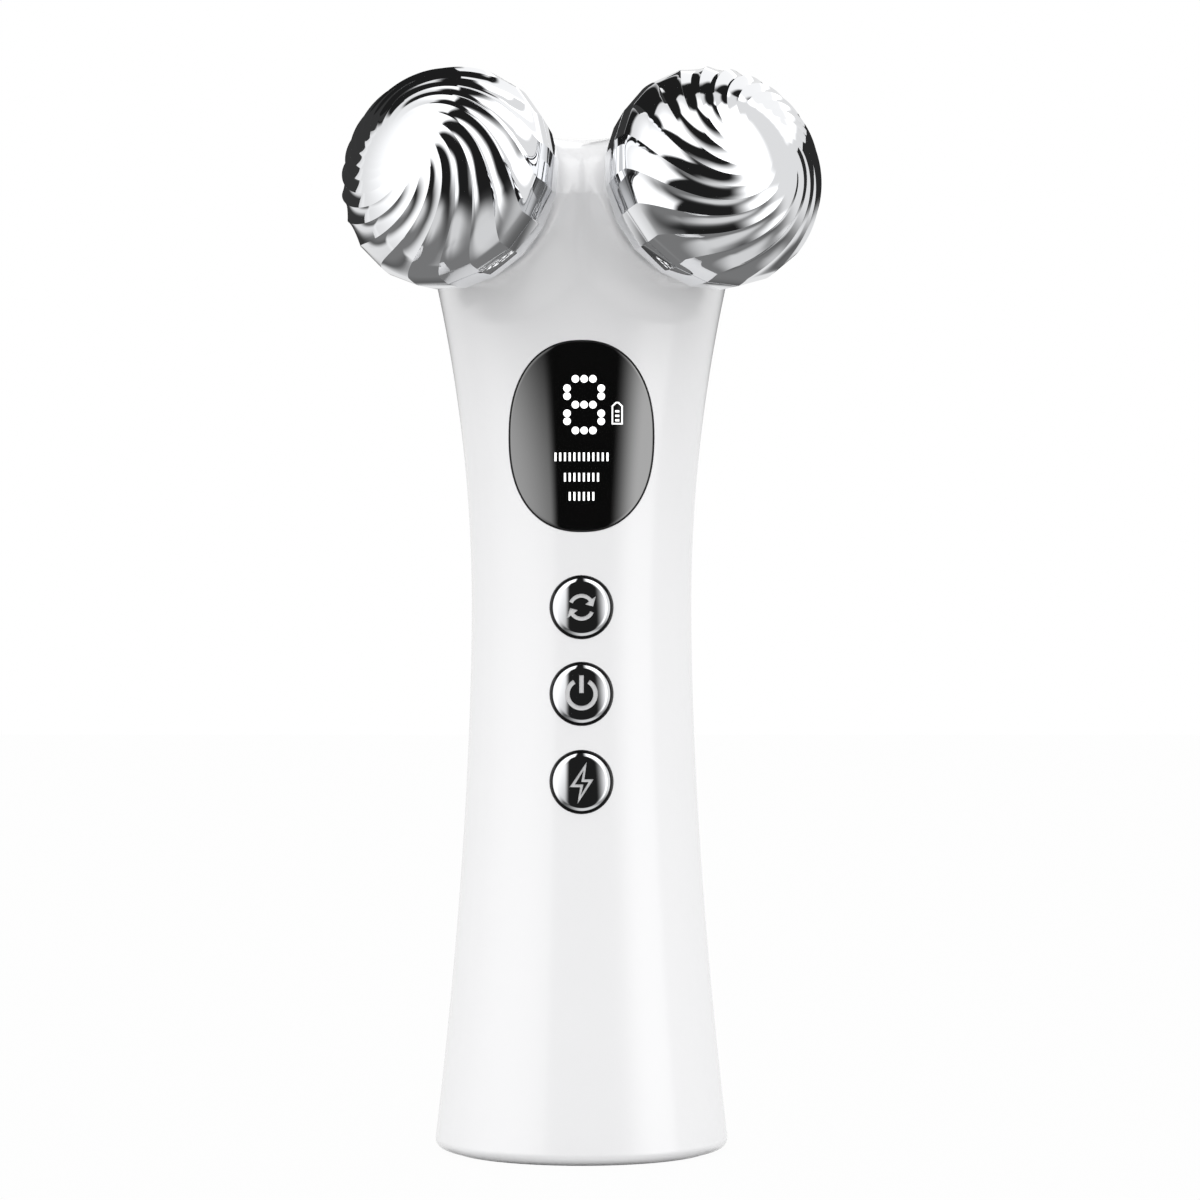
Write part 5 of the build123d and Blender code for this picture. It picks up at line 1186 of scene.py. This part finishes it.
# ---------------------------------------------------------------- studio
DIRECTIONS = (
    # degrees round from the front, positive to the right, and degrees up
    ("back", "MULTIPLY", "y", -1.0),
    ("round", "ARCTAN2", "x", "back"),
    ("turn", "DEGREES", "round"),
    ("lift", "ARCSINE", "z"),
    ("rise", "DEGREES", "lift"),
    ("aside", "ABSOLUTE", "turn"),
    # both softboxes hang at a tilt: the left one's lower edge and the right one's near edge slant
    ("from_left", "ADD", "turn", 110.0),
    ("slant", "MULTIPLY", "from_left", 0.5),
    ("sunk", "SUBTRACT", "rise", "slant"),
)
# each light is its level and its fades: a direction, where it is dark and lit, and its two shares if not 0 and 1
REFLECTED_LIGHTS = (
    # left softbox, brightest beside the camera
    (
        "softbox",
        ("turn", -116, -109),
        ("turn", -19, -27),
        ("rise", 78, 72),
        ("sunk", -60, -28),
        ("turn", -110, -60, 0.62, 1.0),
    ),
    # right softbox, with a bright strip at its middle
    (
        "softbox",
        ("turn", 116, 108),
        ("rise", -34, -6),
        ("rise", 78, 72),
        ("leaned", 24, 50),
        ("turn", 74, 64, 0.6, 1.25),
    ),
    # the pale sweep behind the object, up to the ceiling on the right
    (0.85, ("aside", 108, 116), ("rise", -34, -20), ("rise", 36, 30)),
    (1.1, ("turn", 96, 104), ("rise", 26, 30), ("rise", 66, 60)),
    # the table under the object, paler in front
    (0.2, ("rise", -14, -50)),
    (0.55, ("turn", -60, 4), ("turn", 110, 60), ("rise", -90, -62), ("rise", -22, -44)),
)
SOFT_LIGHT = ("fill", ("rise", -30, 60, 0.72, 1.0), ("aside", 50, 130, 1.0, 0.8))
DARK_STUDIO = 0.015


def studio_world(strength, fill):
    """White behind the object for the camera, a soft light from above for matt surfaces, and for
    reflections a studio of two tall softboxes with a dark space between them, where the camera is."""
    world = bpy.data.worlds.new("studio")
    bpy.context.scene.world = world
    world.cycles.sampling_method = "NONE"
    world.use_nodes = True
    tree = world.node_tree
    tree.nodes.clear()
    way = node(tree, "ShaderNodeSeparateXYZ", {0: node(tree, "ShaderNodeTexCoord").outputs["Generated"]}).outputs
    known = {"x": way[0], "y": way[1], "z": way[2], "softbox": strength, "fill": fill}

    def light(name, level, *fades):
        """Adds a light's level, faded by direction, to what is known."""
        known[name] = known.get(level, level)
        for direction, dark, lit, *shares in fades:
            low, high = shares or (0.0, 1.0)
            ends = {0: known[direction], 1: dark, 2: lit, 3: low, 4: high}
            known["share"] = node(tree, "ShaderNodeMapRange", ends, interpolation_type="SMOOTHSTEP").outputs[0]
            work_out(tree, known, ((name, "MULTIPLY", "share", name),))

    work_out(tree, known, DIRECTIONS)
    light("lean", 20.0, ("rise", -4, 28))
    work_out(tree, known, (("leaned", "ADD", "turn", "lean"),))
    known["studio"] = DARK_STUDIO
    for level, *fades in REFLECTED_LIGHTS:
        light("light", level, *fades)
        work_out(tree, known, (("studio", "ADD", "studio", "light"),))
    light("soft", *SOFT_LIGHT)
    path = node(tree, "ShaderNodeLightPath").outputs
    level = node(tree, "ShaderNodeMix", {0: path["Is Glossy Ray"], 2: known["soft"], 3: known["studio"]}).outputs[0]
    level = node(tree, "ShaderNodeMix", {0: path["Is Camera Ray"], 2: level, 3: 1.0}).outputs[0]
    background = node(tree, "ShaderNodeBackground", {"Color": (1.0, 1.0, 1.0, 1.0), "Strength": level})
    node(tree, "ShaderNodeOutputWorld", {"Surface": background.outputs[0]})


class TONING_OT_stage(bpy.types.Operator):
    """Builds the floor, the cards behind the rollers, the light and the camera"""

    bl_idname = "toning.stage"
    bl_label = "Stage"

    def execute(self, context):
        studio = context.scene.toning_studio
        corners = [(-1, -1), (1, -1), (1, 1), (-1, 1)]
        points = [(x * FLOOR_REACH, y * FLOOR_REACH, 0) for x, y in corners]
        floor = bpy.data.objects.new("floor", mesh_from("floor", points, [(0, 1, 2, 3)]))
        floor.visible_glossy = False
        floor.data.materials.append(self.paper("sweep_paper", "#B4B4B4", 0.97))
        for obj in (floor, *(self.card(name, *card) for name, card in CARDS.items())):
            context.scene.collection.objects.link(obj)
        studio_world(studio.softbox, studio.fill)
        lens = bpy.data.cameras.new("camera")
        lens.lens, lens.sensor_width, lens.shift_x = studio.lens, 36.0, VIEW_SHIFT
        lens.clip_start, lens.clip_end = 0.01, 20
        camera = bpy.data.objects.new("camera", lens)
        camera.location = (0, -studio.camera_distance, studio.camera_height)
        camera.rotation_euler = (math.radians(90), 0, 0)
        context.scene.collection.objects.link(camera)
        context.scene.camera = camera
        context.scene.view_settings.view_transform = "Standard"
        return {"FINISHED"}

    def card(self, name, turns, heights, colour, steps=24):
        """A bent card behind the rollers that only reflections see, which fades out at its lower edge."""
        points = []
        for height in heights:
            for k in range(steps + 1):
                turn = math.radians(turns[0] + (turns[1] - turns[0]) * k / steps)
                points.append((CARD_REACH * math.sin(turn), -CARD_REACH * math.cos(turn), height))
        card = bpy.data.objects.new(name, mesh_from(name, points, grid_faces(2, steps + 1)))
        card.data.materials.append(self.glow(name, colour, heights[0]))
        card.visible_camera = card.visible_diffuse = card.visible_shadow = False
        return card

    def glow(self, name, colour, low):
        """Dark grey felt as reflections see it, paler towards its lower edge."""
        material, tree = empty_material(name)
        position = node(tree, "ShaderNodeNewGeometry").outputs["Position"]
        height = node(tree, "ShaderNodeSeparateXYZ", {0: position}).outputs[2]
        fade = {0: height, 1: low, 2: low + CARD_FADE, 3: CARD_EDGE_LIGHT, 4: linear(colour)[0]}
        level = node(tree, "ShaderNodeMapRange", fade, interpolation_type="SMOOTHSTEP").outputs[0]
        shown = node(tree, "ShaderNodeEmission", {"Strength": level})
        node(tree, "ShaderNodeOutputMaterial", {"Surface": shown.outputs[0]})
        return material

    def paper(self, name, colour, white):
        """Matt sweep paper: the camera sees it nearly white, with the object's soft shadow kept."""
        material, tree = empty_material(name)
        matt = node(tree, "ShaderNodeBsdfDiffuse", {"Color": linear(colour)})
        shown = node(tree, "ShaderNodeEmission", {"Strength": 1.0})
        seen = node(tree, "ShaderNodeLightPath").outputs["Is Camera Ray"]
        share = node(tree, "ShaderNodeMath", {0: seen, 1: white}, operation="MULTIPLY").outputs[0]
        mixed = node(tree, "ShaderNodeMixShader", {0: share, 1: matt.outputs[0], 2: shown.outputs[0]})
        node(tree, "ShaderNodeOutputMaterial", {"Surface": mixed.outputs[0]})
        return material


# ---------------------------------------------------------------- panel and registration
class TONING_PT_panel(bpy.types.Panel):
    bl_label = "Facial toning device"
    bl_idname = "TONING_PT_panel"
    bl_space_type = "VIEW_3D"
    bl_region_type = "UI"
    bl_category = "Toning device"

    def draw(self, context):
        for kind in OPERATORS:
            self.layout.operator(kind.bl_idname)
        for name, kind in SETTINGS.items():
            box = self.layout.box()
            for key in kind.__annotations__:
                box.prop(getattr(context.scene, name), key)


OPERATORS = (
    TONING_OT_finishes,
    TONING_OT_shells,
    TONING_OT_rollers,
    TONING_OT_display,
    TONING_OT_buttons,
    TONING_OT_stage,
)
SETTINGS = {
    "toning_body": BodySettings,
    "toning_roller": RollerSettings,
    "toning_display": DisplaySettings,
    "toning_button": ButtonSettings,
    "toning_studio": StudioSettings,
}


def register():
    for kind in (*SETTINGS.values(), *OPERATORS, TONING_PT_panel):
        bpy.utils.register_class(kind)
    for name, kind in SETTINGS.items():
        setattr(bpy.types.Scene, name, PointerProperty(type=kind))


def unregister():
    for name in SETTINGS:
        delattr(bpy.types.Scene, name)
    for kind in (TONING_PT_panel, *reversed(OPERATORS), *SETTINGS.values()):
        bpy.utils.unregister_class(kind)


def main():
    register()
    for kind in OPERATORS:
        family, name = kind.bl_idname.split(".")
        getattr(getattr(bpy.ops, family), name)()


if __name__ == "__main__":
    main()
